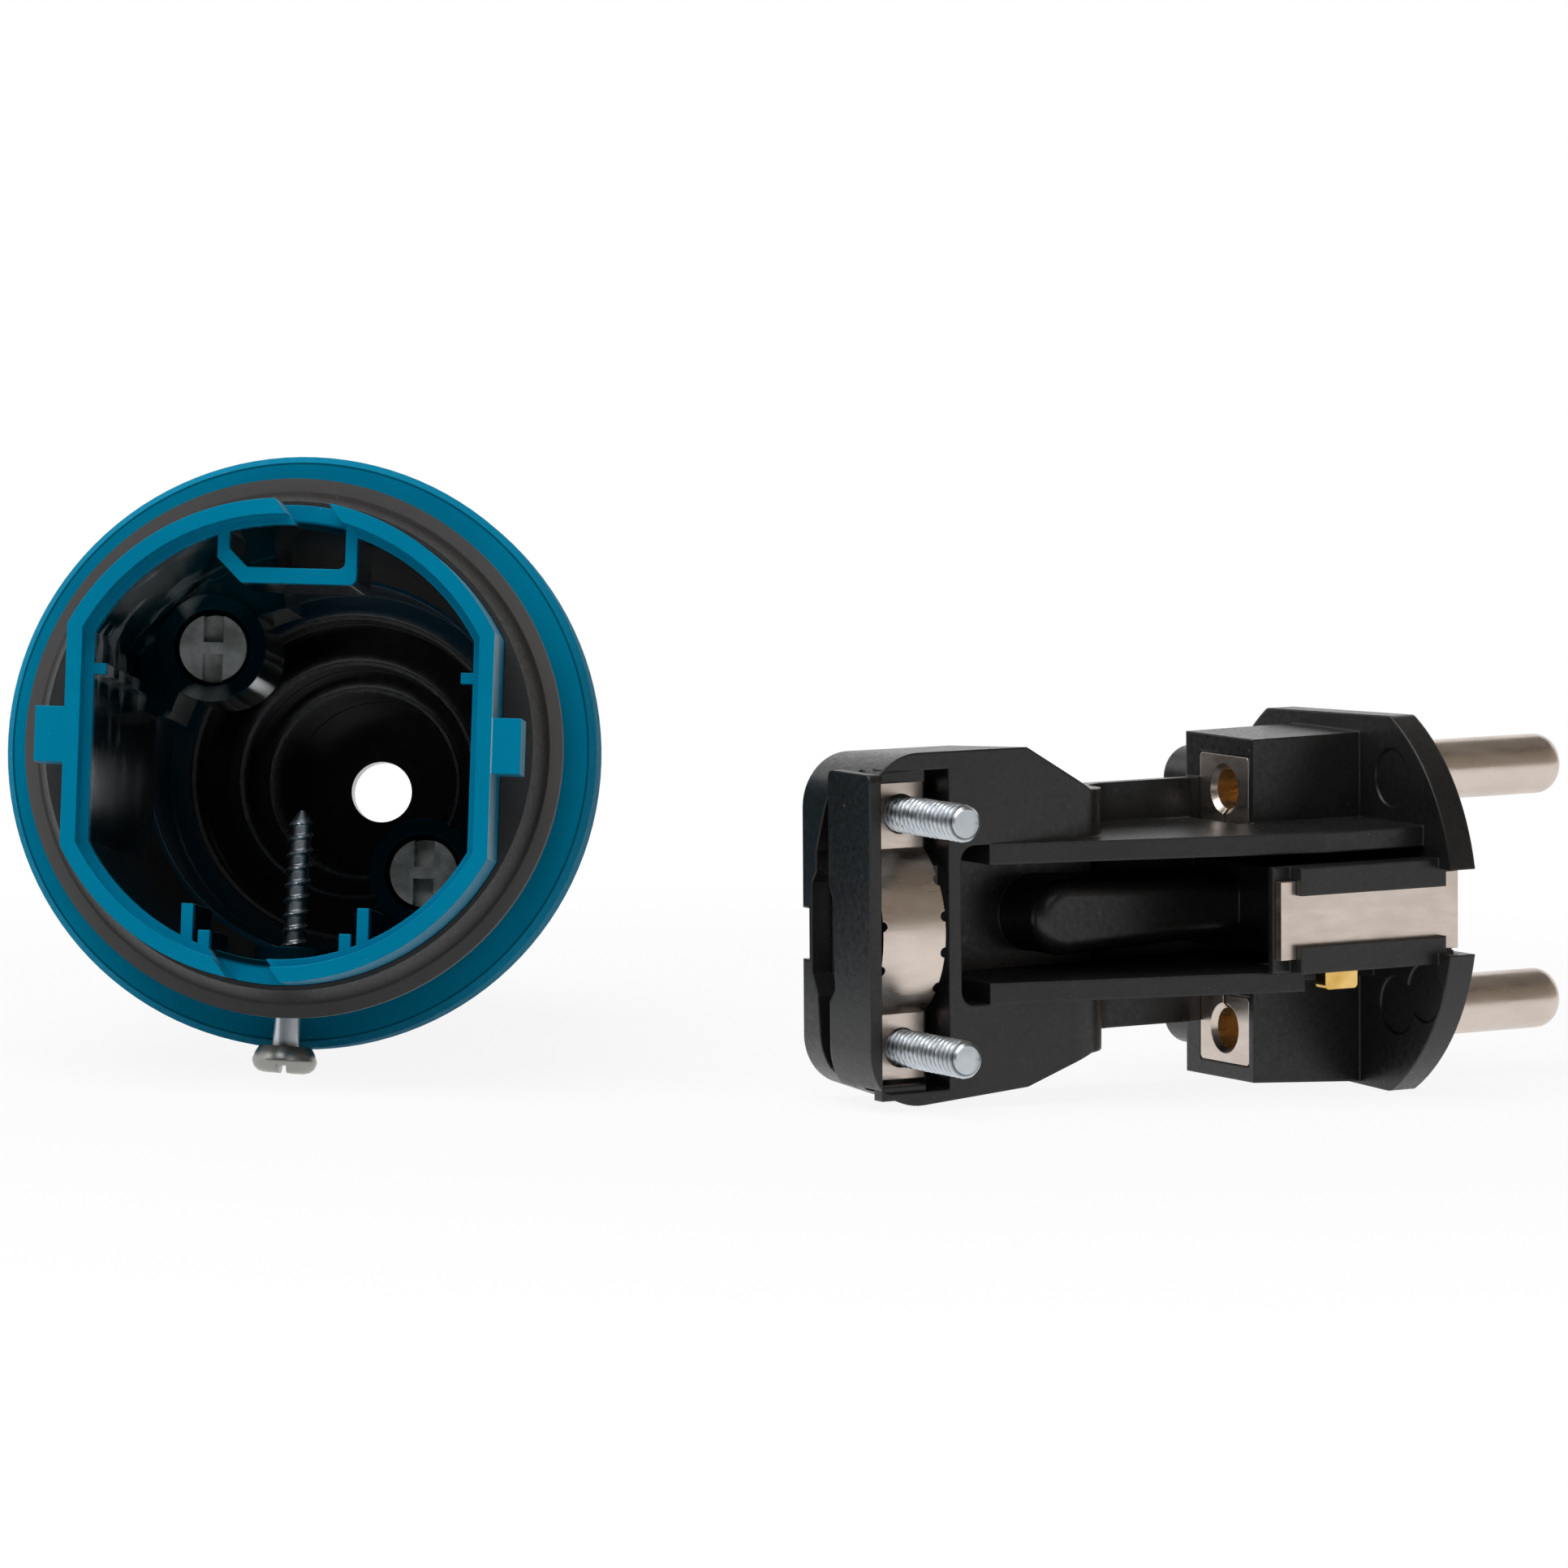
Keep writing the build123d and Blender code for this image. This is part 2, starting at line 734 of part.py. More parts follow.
def terminal_chambers():
    """Chambers on the plate, each a box that the terminal block slides into from behind."""
    solids, cuts = [], []
    for side in (-1, 1):
        across = terminal_across(side)
        solids.append(chamber_shell(side))
        solids.append(insert_rod(boss_radius, grub_place, across,
                                 chamber_low - boss_reach, chamber_low + bury))
        room = block_height / 2 + seat_gap
        depth = chamber_back - block_length - seat_gap
        cuts.append(insert_box(chamber_back + overrun, depth, terminal_shift - block_width / 2 - seat_gap,
                               terminal_shift + block_width / 2 + seat_gap, across - room, across + room))
        cuts.append(insert_rod(grub_radius + seat_gap, grub_place, across, 4 * chamber_low, 0))
    return solids, cuts


def earth_channels():
    """A channel on each side that holds the earth strip under two lips, and the pillar between."""
    solids, cuts = [], []
    groove = strip_level - strip_thickness - seat_gap
    half = strip_width / 2 + seat_gap
    for side in (-1, 1):
        def levels(a, b):
            return sorted((side * a, side * b))
        solids.append(insert_box(channel_back, channel_front, *levels(channel_low, channel_top),
                                 -channel_half, channel_half))
        solids.append(insert_box(shelf_back, channel_front, *levels(channel_low, groove),
                                 -channel_half, channel_half))
        cuts.append(insert_box(strip_back + seat_gap, -overrun, *levels(groove, strip_level + seat_gap),
                               -half, half))
        cuts.append(insert_box(strip_back + seat_gap, -overrun, *levels(groove, 2 * channel_top),
                               -channel_lip_gap / 2, channel_lip_gap / 2))
        cuts.append(insert_box(lip_front, -overrun, *levels(groove, 2 * channel_top), -half, half))
    solids.append(insert_box(pillar_back, plate_thickness, -channel_low - bury, channel_low + bury,
                             -pillar_half, pillar_half))
    web = strip_web_place
    cuts.append(insert_box(web + strip_thickness + seat_gap, web - seat_gap, -groove - seat_gap,
                           groove + seat_gap, -half, half))
    cuts.append(insert_box(earth_block_back + seat_gap, earth_block_back - earth_block_length - seat_gap,
                           earth_block_low - seat_gap, strip_level - strip_thickness / 2,
                           earth_block_bottom - seat_gap, earth_block_top + seat_gap))
    cuts.append(insert_box(earth_tongue_back + seat_gap, earth_tongue_back - earth_tongue_length - seat_gap,
                           groove - earth_tongue - seat_gap, groove + seat_gap,
                           -3 * channel_half, earth_block_bottom + seat_gap))
    middle = earth_block_back - earth_block_length / 2
    boss_end = chamber_low - earth_boss_reach
    solids.append(insert_rod(earth_boss_radius, middle, earth_screw_offset, boss_end, chamber_low + overrun))
    cuts.append(insert_rod(earth_screw_radius + seat_gap, middle, earth_screw_offset,
                           3 * chamber_low, earth_block_low + overrun))
    cuts.append(insert_rod(earth_head_radius + slide_gap, middle, earth_screw_offset,
                           -channel_low, boss_end + earth_head_height + earth_head_cover))
    return solids, cuts


def pin_holes():
    holes = []
    for side in (-1, 1):
        plane = Plane(origin=(overrun, 0, side * pin_spacing / 2), z_dir=(-1, 0, 0))
        holes.append(extrude(plane * Circle(root_radius + seat_gap), block_front() + 2 * overrun))
    return holes


def ejector_marks():
    face = Plane(origin=(-plate_thickness - overrun, 0, 0), x_dir=(0, 0, 1), z_dir=(1, 0, 0))
    return [extrude(face * Pos(across, height) * Circle(mark_radius), overrun + mark_depth)
            for height, across in mark_spots]


def make_insert_body():
    body = side_profile() & plan_outline()
    plate = front_plate()
    plate -= ejector_marks()
    body += plate
    chambers, chamber_cuts = terminal_chambers()
    channels, channel_cuts = earth_channels()
    body += rails()
    body -= cable_bed()
    body += divider()
    body += chambers
    body += channels
    body += end_lip()
    body -= strap_pocket()
    body -= end_opening()
    body += keepers()
    body -= clamp_holes()
    body -= chamber_cuts
    body -= channel_cuts
    body -= pin_holes()
    body -= insert_box(body_length + overrun, body_length - clamp_length, 2 * far_level,
                       far_level + far_groove_depth, far_groove_shift - far_groove_half,
                       far_groove_shift + far_groove_half)
    return body


def block_front():
    return chamber_back - block_length


def make_contact_pin(side):
    across = side * pin_spacing / 2
    back = block_front() - seat_gap
    face = Plane(origin=(0, 0, across), z_dir=(1, 0, 0))
    pin = extrude(face * Circle(pin_radius), pin_length)
    pin = fillet(pin.edges().group_by(Axis.X)[-1], pin_round)
    pin += extrude(face * Circle(root_radius), -back)
    pin += extrude(face.offset(-back) * Circle(shank_radius), -shank_length)
    return pin


def make_terminal_block(side):
    across = terminal_across(side)
    half = block_height / 2
    block = insert_box(chamber_back, block_front(), terminal_shift - block_width / 2,
                       terminal_shift + block_width / 2, across - half, across + half)
    block = fillet(block.edges().filter_by(Axis.X), block_round)
    rear = Plane(origin=(-chamber_back, -terminal_shift, across), z_dir=(1, 0, 0))
    block -= extrude(rear * Circle(wire_hole_radius), wire_hole_depth)
    sink = wire_hole_radius + wire_hole_sink
    block -= Pos(-chamber_back + wire_hole_sink / 2, -terminal_shift, across) * Rot(0, 90, 0) * Cone(
        sink, wire_hole_radius, wire_hole_sink)
    front = Plane(origin=(-block_front(), 0, side * pin_spacing / 2), z_dir=(-1, 0, 0))
    block -= extrude(front * Circle(shank_radius + seat_gap), shank_length + seat_gap)
    bottom, top = sorted((across, across - side * (half + overrun)))
    block -= insert_box(chamber_back + overrun, chamber_back - wire_hole_depth,
                        terminal_shift - block_slit / 2, terminal_shift + block_slit / 2, bottom, top)
    block -= insert_rod(grub_radius + seat_gap, grub_place, across, 2 * chamber_low, terminal_shift)
    return block


def grub_end():
    return terminal_shift - wire_hole_radius - grub_clear


def make_terminal_screw(side):
    across = terminal_across(side)
    end = grub_end()
    screw = insert_rod(grub_radius, grub_place, across, end - grub_length, end)
    slot = insert_box(grub_place + 2 * grub_radius, grub_place - 2 * grub_radius,
                      end - grub_length - overrun, end - grub_length + grub_slot_depth,
                      across - grub_slot_width / 2, across + grub_slot_width / 2)
    return screw - slot


def make_earth_strip():
    half = strip_width / 2
    low = strip_level - strip_thickness
    strip = insert_box(strip_web_place + strip_thickness, strip_web_place, -low, low, -half, half)
    for side in (-1, 1):
        bottom, top = sorted((side * low, side * strip_level))
        strip += insert_box(strip_back, 0, bottom, top, -half, half)
    return strip


def make_earth_terminal():
    """A clamp block under the strip, with a tongue that shows beside the channel."""
    top = strip_level - strip_thickness - seat_gap
    front = earth_block_back - earth_block_length
    block = insert_box(earth_block_back, front, earth_block_low, top, earth_block_bottom, earth_block_top)
    tongue = insert_box(earth_tongue_back, earth_tongue_back - earth_tongue_length, top - earth_tongue, top,
                        earth_tongue_bottom, earth_block_bottom + overrun)
    tongue = fillet(tongue.edges().filter_by(Axis.Y).group_by(Axis.Z)[0], earth_tongue / 4)
    block += tongue
    middle = earth_block_back - earth_block_length / 2
    height = (earth_block_low + top - earth_tongue) / 2
    wire = Plane(origin=(-middle, -height, earth_block_bottom), z_dir=(0, 0, 1))
    block -= extrude(wire * Circle(earth_wire_radius), earth_wire_depth)
    return block - insert_rod(earth_screw_radius + seat_gap, middle, earth_screw_offset,
                              earth_block_low - overrun, earth_block_low + earth_screw_grip + seat_gap)


def make_earth_screw():
    middle = earth_block_back - earth_block_length / 2
    head_low = chamber_low - earth_boss_reach + earth_head_cover
    head = insert_rod(earth_head_radius, middle, earth_screw_offset,
                      head_low, head_low + earth_head_height)
    slot = insert_box(middle + 2 * earth_head_radius, middle - 2 * earth_head_radius,
                      head_low - overrun, head_low + grub_slot_depth,
                      earth_screw_offset - grub_slot_width / 2, earth_screw_offset + grub_slot_width / 2)
    shank = insert_rod(earth_screw_radius, middle, earth_screw_offset, head_low + bury,
                       earth_block_low + earth_screw_grip)
    return (head - slot) + shank


def strap_back():
    return body_length - end_wall - strap_gap


def make_clamp_strap():
    """A strap folded over the cable: two ears and a round arch between, with bitten edges."""
    seat = pocket_level + seat_gap
    back = strap_back()
    half = strap_arch_half
    plane = Plane(origin=(-back, 0, 0), x_dir=(0, 0, 1), z_dir=(1, 0, 0))
    low, high = seat, seat + strap_thickness
    with BuildSketch(plane) as section:
        with BuildLine():
            ThreePointArc((-half, low), (0, low + strap_arch_rise), (half, low))
            Polyline((half, low), (strap_half, low), (strap_half, high), (half, high))
            ThreePointArc((half, high), (0, high + strap_arch_rise), (-half, high))
            Polyline((-half, high), (-strap_half, high), (-strap_half, low), (-half, low))
        make_face()
    strap = extrude(section.sketch, strap_width)
    for side in (-1, 1):
        strap -= insert_rod(clamp_screw_radius + seat_gap, clamp_screw_place,
                            side * clamp_screw_spacing / 2, 0, 3 * near_level)
    for edge, spots in ((back, strap_back_notches), (back - strap_width, strap_front_notches)):
        for across in spots:
            strap -= insert_rod(strap_notch_radius, edge, across, 0, 3 * near_level)
    return strap


def make_clamp_screw(side):
    across = side * clamp_screw_spacing / 2
    head_low = far_level + clamp_head_cover
    tip = pocket_level + strap_thickness + clamp_screw_reach
    head = insert_rod(clamp_head_radius, clamp_screw_place, across,
                      head_low, head_low + clamp_head_height)
    slot = insert_box(clamp_screw_place + 2 * clamp_head_radius, clamp_screw_place - 2 * clamp_head_radius,
                      head_low - overrun, head_low + grub_slot_depth,
                      across - grub_slot_width / 2, across + grub_slot_width / 2)
    shank = insert_rod(clamp_screw_radius, clamp_screw_place, across, head_low + bury, tip)
    shank = chamfer(shank.edges().group_by(Axis.Y)[0], clamp_screw_chamfer)
    return (head - slot) + shank


# Where the halves lie: each rests on the floor by its own shape

def housing_tilt():
    """Tilt at which the housing lies on its screw head and on the round of its grip."""
    down = tapper_head_inner + tapper_head_height - boot_bulge_center
    back = boot_bulge_depth - tapper_depth
    reach = math.hypot(down, back)
    return math.degrees(math.acos(boot_bulge_round / reach) - math.atan2(back, down))


def insert_pitch():
    """Pitch at which the insert lies on its front plate and on its clamp end."""
    run = body_length - clamp_corner - plate_thickness
    return math.degrees(math.atan2(plate_flat + plate_draft / 2 - clamp_half, run))


def place(pieces, turn, x, y):
    """Turns a half into the way it lies, and sets it on the floor."""
    turned_pieces = {name: turn * shape for name, shape in pieces.items()}
    lowest = min(shape.bounding_box().min.Z for shape in turned_pieces.values())
    return {name: Pos(x, y, -lowest) * shape for name, shape in turned_pieces.items()}


housing = {
    "housing_front": make_housing_front(),
    "rubber_boot": make_rubber_boot(),
    "sealing_ring": make_sealing_ring(),
    "fixing_peg_upper": make_fixing_peg(*peg_spots[0]),
    "fixing_peg_lower": make_fixing_peg(*peg_spots[1]),
    "housing_screw": make_housing_screw(),
}

insert = {
    "insert_body": make_insert_body(),
    "earth_strip": make_earth_strip(),
    "earth_terminal": make_earth_terminal(),
    "earth_screw": make_earth_screw(),
    "clamp_strap": make_clamp_strap(),
}
for level, side in (("upper", 1), ("lower", -1)):
    insert["contact_pin_" + level] = make_contact_pin(side)
    insert["terminal_block_" + level] = make_terminal_block(side)
    insert["terminal_screw_" + level] = make_terminal_screw(side)
    insert["clamp_screw_" + level] = make_clamp_screw(side)

housing_turn = Rot(-housing_tilt(), 0, 0) * Rot(0, housing_roll, 0)
insert_turn = Rot(0, 0, insert_yaw) * Rot(0, -insert_pitch(), 0)
placed = place(housing, housing_turn, 0, 0)
placed.update(place(insert, insert_turn, apart_x, apart_y))

# Origin at the middle of the bottom of everything
boxes = [shape.bounding_box() for shape in placed.values()]
middle_x = (min(b.min.X for b in boxes) + max(b.max.X for b in boxes)) / 2
middle_y = (min(b.min.Y for b in boxes) + max(b.max.Y for b in boxes)) / 2

os.makedirs("parts", exist_ok=True)
for name, shape in placed.items():
    placed[name] = Pos(-middle_x, -middle_y, 0) * shape
    export_step(placed[name], "parts/" + name + ".step")
print("tilt", round(housing_tilt(), 2), "pitch", round(insert_pitch(), 2))
print("middle", round(middle_x, 2), round(middle_y, 2))
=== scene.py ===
import json
from math import asin, cos, pi, radians, sin

import bmesh
import bpy
from mathutils import Euler, Matrix, Vector


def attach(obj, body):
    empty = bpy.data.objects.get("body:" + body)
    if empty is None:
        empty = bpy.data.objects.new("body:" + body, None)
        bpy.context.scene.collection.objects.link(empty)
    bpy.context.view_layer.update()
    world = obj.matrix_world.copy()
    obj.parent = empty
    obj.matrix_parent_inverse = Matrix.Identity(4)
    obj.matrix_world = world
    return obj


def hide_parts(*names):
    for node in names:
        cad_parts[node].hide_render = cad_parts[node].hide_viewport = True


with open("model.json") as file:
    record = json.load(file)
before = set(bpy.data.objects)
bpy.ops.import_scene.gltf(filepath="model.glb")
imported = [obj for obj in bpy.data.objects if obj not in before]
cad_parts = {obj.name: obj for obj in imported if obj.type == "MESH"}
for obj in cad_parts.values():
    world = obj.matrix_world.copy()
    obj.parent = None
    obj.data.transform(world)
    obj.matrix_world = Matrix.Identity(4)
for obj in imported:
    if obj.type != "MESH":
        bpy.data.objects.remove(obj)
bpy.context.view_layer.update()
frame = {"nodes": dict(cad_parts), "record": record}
nodes = frame["nodes"]
mounts = {m["name"]: m for m in frame["record"]["mounts"]}
mm = 0.001
scene = bpy.context.scene
print("stage: frame loaded,", len(nodes), "nodes")


# frames of the two halves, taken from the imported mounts:
# the housing's Y runs into its mouth, the insert's X toward the pins and its Z across them

housingFit = {"entryDepth": 76.75 * mm, "roll": 0.3}
insertFit = {"pinMiddle": 8.65 * mm}


def housingFrame():
    depth = Vector(mounts["cable_entry"]["axis"])
    entry = Vector(mounts["cable_entry"]["pos_m"])
    tilt = asin(-depth.z)
    turn = Matrix.Rotation(-tilt, 4, "X") @ Matrix.Rotation(radians(housingFit["roll"]), 4, "Y")
    return Matrix.Translation(entry - depth * housingFit["entryDepth"]) @ turn


def insertFrame():
    upper = Vector(mounts["pin_upper"]["pos_m"])
    lower = Vector(mounts["pin_lower"]["pos_m"])
    along = Vector(mounts["pin_upper"]["axis"]).normalized()
    across = (upper - lower).normalized()
    side = across.cross(along)
    origin = (upper + lower) / 2 - along * insertFit["pinMiddle"]
    turn = Matrix((along, side, across)).transposed().to_4x4()
    return Matrix.Translation(origin) @ turn


housingAt = housingFrame()
insertAt = insertFrame()


# nodes, for materials and for Geometry Nodes

# the Mix node keeps its colour sockets behind those of its other data types
mixInputs, mixOutput = (0, 6, 7), 2


def addNode(tree, kind, values=None, **props):
    node = tree.nodes.new(kind)
    for key, value in props.items():
        setattr(node, key, value)
    for key, value in (values or {}).items():
        node.inputs[key].default_value = value
    return node


def wire(tree, source, target):
    tree.links.new(source, target)


def feed(tree, socket, value):
    if isinstance(value, (int, float, tuple)):
        socket.default_value = value
    else:
        wire(tree, value, socket)


def calculate(tree, operation, *values):
    node = addNode(tree, "ShaderNodeMath", operation=operation)
    for socket, value in zip(node.inputs, values):
        feed(tree, socket, value)
    return node.outputs[0]


def product(tree, first, *others):
    for other in others:
        first = calculate(tree, "MULTIPLY", first, other)
    return first


def distance(tree, first, second):
    squares = calculate(tree, "ADD", product(tree, first, first), product(tree, second, second))
    return calculate(tree, "SQRT", squares)


def between(tree, value, low, high):
    return product(tree, calculate(tree, "GREATER_THAN", value, low), calculate(tree, "LESS_THAN", value, high))


def ramp(tree, source, low, high, first, last):
    node = addNode(tree, "ShaderNodeMapRange",
                   {"From Min": low, "From Max": high, "To Min": first, "To Max": last})
    wire(tree, source, node.inputs["Value"])
    return node.outputs["Result"]


def mixColor(tree, factor, first, second):
    node = addNode(tree, "ShaderNodeMix", data_type="RGBA")
    for index, value in zip(mixInputs, (factor, first, second)):
        feed(tree, node.inputs[index], value)
    return node.outputs[mixOutput]


# what all materials share: cloudy colour, grainy roughness, fine bump and softened edges

surfaceRule = {"noiseRough": 0.55, "cloudDetail": 3.0, "grainDetail": 2.0, "speckDetail": 1.0,
               "cloudSpan": (0.35, 0.65), "grainSpan": (0.3, 0.7), "speckFade": 0.02, "bevelSamples": 6}


def newMaterial(name):
    mat = bpy.data.materials.new(name)
    mat.use_nodes = True
    tree = mat.node_tree
    return mat, tree, tree.nodes["Principled BSDF"]


def objectNoise(tree, scale, detail, stretch=None):
    place = addNode(tree, "ShaderNodeTexCoord").outputs["Object"]
    noise = addNode(tree, "ShaderNodeTexNoise",
                    {"Scale": scale, "Detail": detail, "Roughness": surfaceRule["noiseRough"]})
    if stretch:
        mapping = addNode(tree, "ShaderNodeMapping", {"Scale": stretch})
        wire(tree, place, mapping.inputs["Vector"])
        place = mapping.outputs["Vector"]
    wire(tree, place, noise.inputs["Vector"])
    return noise.outputs["Fac"]


def cloudColor(tree, s):
    cloud = objectNoise(tree, s["cloudScale"], surfaceRule["cloudDetail"])
    return mixColor(tree, ramp(tree, cloud, *surfaceRule["cloudSpan"], 0.0, 1.0), s["dark"], s["light"])


def grainRough(tree, grain, s):
    low, high = s["rough"] - s["roughSpread"], s["rough"] + s["roughSpread"]
    return ramp(tree, grain, *surfaceRule["grainSpan"], low, high)


def addBump(tree, shader, height, s, form=None):
    fine = addNode(tree, "ShaderNodeBump", {"Strength": s["bump"], "Distance": s["bumpDepth"]})
    wire(tree, height, fine.inputs["Height"])
    base = fine
    if form is not None:
        base = addNode(tree, "ShaderNodeBump", {"Strength": 1.0, "Distance": 1.0})
        wire(tree, form, base.inputs["Height"])
        wire(tree, base.outputs["Normal"], fine.inputs["Normal"])
    if "edge" in s:
        bevel = addNode(tree, "ShaderNodeBevel", {"Radius": s["edge"]}, samples=surfaceRule["bevelSamples"])
        wire(tree, bevel.outputs["Normal"], base.inputs["Normal"])
    wire(tree, fine.outputs["Normal"], shader.inputs["Normal"])


# tones, painted shade and painted light that keep to one place on a half

def localPlace(tree, at):
    coords = addNode(tree, "ShaderNodeTexCoord")
    mapping = addNode(tree, "ShaderNodeMapping", {"Location": at.to_translation(), "Rotation": at.to_euler()},
                      vector_type="TEXTURE")
    wire(tree, coords.outputs["Object"], mapping.inputs["Vector"])
    split = addNode(tree, "ShaderNodeSeparateXYZ")
    wire(tree, mapping.outputs["Vector"], split.inputs["Vector"])
    return split.outputs


def fromAxis(tree, place):
    return distance(tree, place[0], place[2])


# the housing: painted shade inside, painted reflections on the upper left wall, painted light on the right
# flank and a painted shade line on the flange
def boreShade(tree, color, s):
    place = localPlace(tree, housingAt)
    reach = fromAxis(tree, place)
    within = product(tree, ramp(tree, reach, s["insideRadius"], s["insideRadius"] + s["insideFade"], 1.0, 0.0),
                     between(tree, place[0], -s["insideFlat"], s["insideFlat"]))
    insideShadeMask = product(tree, ramp(tree, place[1], *s["insideDepth"], 0.0, 1.0), within)
    # painted shade: the deep inside of the housing is darkened by depth and radius
    color = mixColor(tree, insideShadeMask, color, s["insideShadeColor"])
    # painted reflections: pale patches on the upper left inside wall stand in for glints on the glossy plastic
    patch = objectNoise(tree, s["reflectionScale"], s["reflectionDetail"])
    reflected = product(tree, insideShadeMask, ramp(tree, place[0], *s["reflectionSide"], 0.0, 1.0),
                      ramp(tree, place[2], *s["reflectionHeight"], 0.0, 1.0),
                      ramp(tree, patch, *s["reflectionFrom"], 0.0, s["paintedReflections"]))
    color = mixColor(tree, reflected, color, s["reflectionColor"])
    # painted light: the front of the right flank is paler, as if lit from the right
    flankLight = product(tree, between(tree, place[0], *s["flankLightSide"]), s["flankLight"],
                   ramp(tree, place[1], *s["flankLightDepth"], 1.0, 0.0))
    color = mixColor(tree, flankLight, color, s["flankLightColor"])
    # painted shade: a thin dark ring at the edge of the flange's bevel
    shadeLine = product(tree, between(tree, reach, *s["shadeLineRadius"]), s["shadeLine"])
    return mixColor(tree, shadeLine, color, s["shadeLineColor"]), insideShadeMask


# the boot: round edges on the steps of its bore
def roundedSteps(tree, s):
    reach = fromAxis(tree, localPlace(tree, housingAt))
    drop = 0.0
    for radius in s["steps"]:
        share = ramp(tree, reach, radius, radius + s["stepRound"], 1.0, 0.0)
        drop = calculate(tree, "ADD", product(tree, share, share), drop)
    return product(tree, drop, -s["stepDrop"])


# the boot: painted dark teal shade in its throat, painted highlights on the rims of the steps and a glossy bore
def bootInside(tree, color, rough, s):
    place = localPlace(tree, housingAt)
    reach = fromAxis(tree, place)
    inner = calculate(tree, "LESS_THAN", reach, ramp(tree, place[1], *s["innerDepth"], *s["innerRadius"]))
    # painted highlights: pale rims where the steps of the bore turn stand in for glints on rounded edges
    stepHighlights = 0.0
    for start, share in s["stepHighlights"]:
        stepHighlight = product(tree, between(tree, place[1], start, start + s["stepHighlightWidth"]), share)
        stepHighlights = calculate(tree, "ADD", stepHighlight, stepHighlights)
    # painted shade: the bore is darkened to dark teal where it is wider than the throat radius
    wide = calculate(tree, "GREATER_THAN", reach, s["throatShadeRadius"])
    color = mixColor(tree, product(tree, wide, inner), color, s["throatShade"])
    color = mixColor(tree, product(tree, stepHighlights, inner), color, s["stepHighlightColor"])
    return color, product(tree, rough, ramp(tree, inner, 0.0, 1.0, 1.0, s["innerGloss"]))


# the terminal blocks: brass shows in the wire holes
def wireHoles(tree, color, s):
    place = localPlace(tree, insertAt)
    side = calculate(tree, "ADD", place[1], s["holeShift"])
    inner = 0.0
    for height in s["holeHeights"]:
        rise = calculate(tree, "SUBTRACT", place[2], height)
        hole = calculate(tree, "LESS_THAN", distance(tree, side, rise), s["holeRadius"])
        inner = calculate(tree, "MAXIMUM", hole, inner)
    deep = between(tree, place[0], *s["holeDepth"])
    return mixColor(tree, product(tree, inner, deep), color, s["holeColor"])


# the housing screw: its head is darker than its shank
def darkHead(tree, color, s):
    place = localPlace(tree, housingAt)
    low = product(tree, ramp(tree, place[2], *s["headHeight"], 1.0, 0.0),
                  between(tree, place[0], -s["headReach"], s["headReach"]))
    return mixColor(tree, low, color, s["headColor"])


# materials

def mouldedPlastic(name, s):
    mat, tree, shader = newMaterial(name)
    color = cloudColor(tree, s)
    grain = objectNoise(tree, s["grainScale"], surfaceRule["grainDetail"])
    rough = grainRough(tree, grain, s)
    if "specks" in s:
        speck = objectNoise(tree, s["speckScale"], surfaceRule["speckDetail"])
        spot = ramp(tree, speck, s["speckFrom"], s["speckFrom"] + surfaceRule["speckFade"], 0.0, s["specks"])
        color = mixColor(tree, spot, color, s["dust"])
    # painted shade, painted reflections and painted light on the housing, and a glossier deep inside
    if "insideShadeColor" in s:
        color, insideShadeMask = boreShade(tree, color, s)
        reach = fromAxis(tree, localPlace(tree, housingAt))
        rough = product(tree, rough, ramp(tree, insideShadeMask, 0.0, 1.0, 1.0, s["insideGloss"]),
                        ramp(tree, reach, *s["rimRadius"], 1.0, s["rimMatte"]))
    if "innerDepth" in s:
        color, rough = bootInside(tree, color, rough, s)
    # painted light: the seal's outer lip is paler than its inner cone, which lies in shade
    if "lipLightColor" in s:
        reach = fromAxis(tree, localPlace(tree, housingAt))
        color = mixColor(tree, ramp(tree, reach, *s["lipLightRadius"], 0.0, 1.0), color, s["lipLightColor"])
    wire(tree, color, shader.inputs["Base Color"])
    wire(tree, rough, shader.inputs["Roughness"])
    for key, label in (("specular", "Specular IOR Level"), ("tint", "Specular Tint")):
        if key in s:
            shader.inputs[label].default_value = s[key]
    addBump(tree, shader, grain, s, roundedSteps(tree, s) if "steps" in s else None)
    return mat


def platedMetal(name, s):
    mat, tree, shader = newMaterial(name)
    color = cloudColor(tree, s)
    brush = objectNoise(tree, s["brushScale"], surfaceRule["grainDetail"], s["stretch"])
    if "holeColor" in s:
        color = wireHoles(tree, color, s)
    if "headColor" in s:
        color = darkHead(tree, color, s)
    # painted shade in the grooves of the threads
    if "grooveShadeColor" in s:
        grooveShade = addNode(tree, "ShaderNodeAttribute", attribute_name="grooveShade")
        low = ramp(tree, grooveShade.outputs["Fac"], *s["grooveShadeFrom"], 0.0, s["grooveShadeShare"])
        color = mixColor(tree, low, color, s["grooveShadeColor"])
    wire(tree, color, shader.inputs["Base Color"])
    wire(tree, grainRough(tree, brush, s), shader.inputs["Roughness"])
    shader.inputs["Metallic"].default_value = 1.0
    addBump(tree, shader, brush, s)
    return mat


finishes = {}

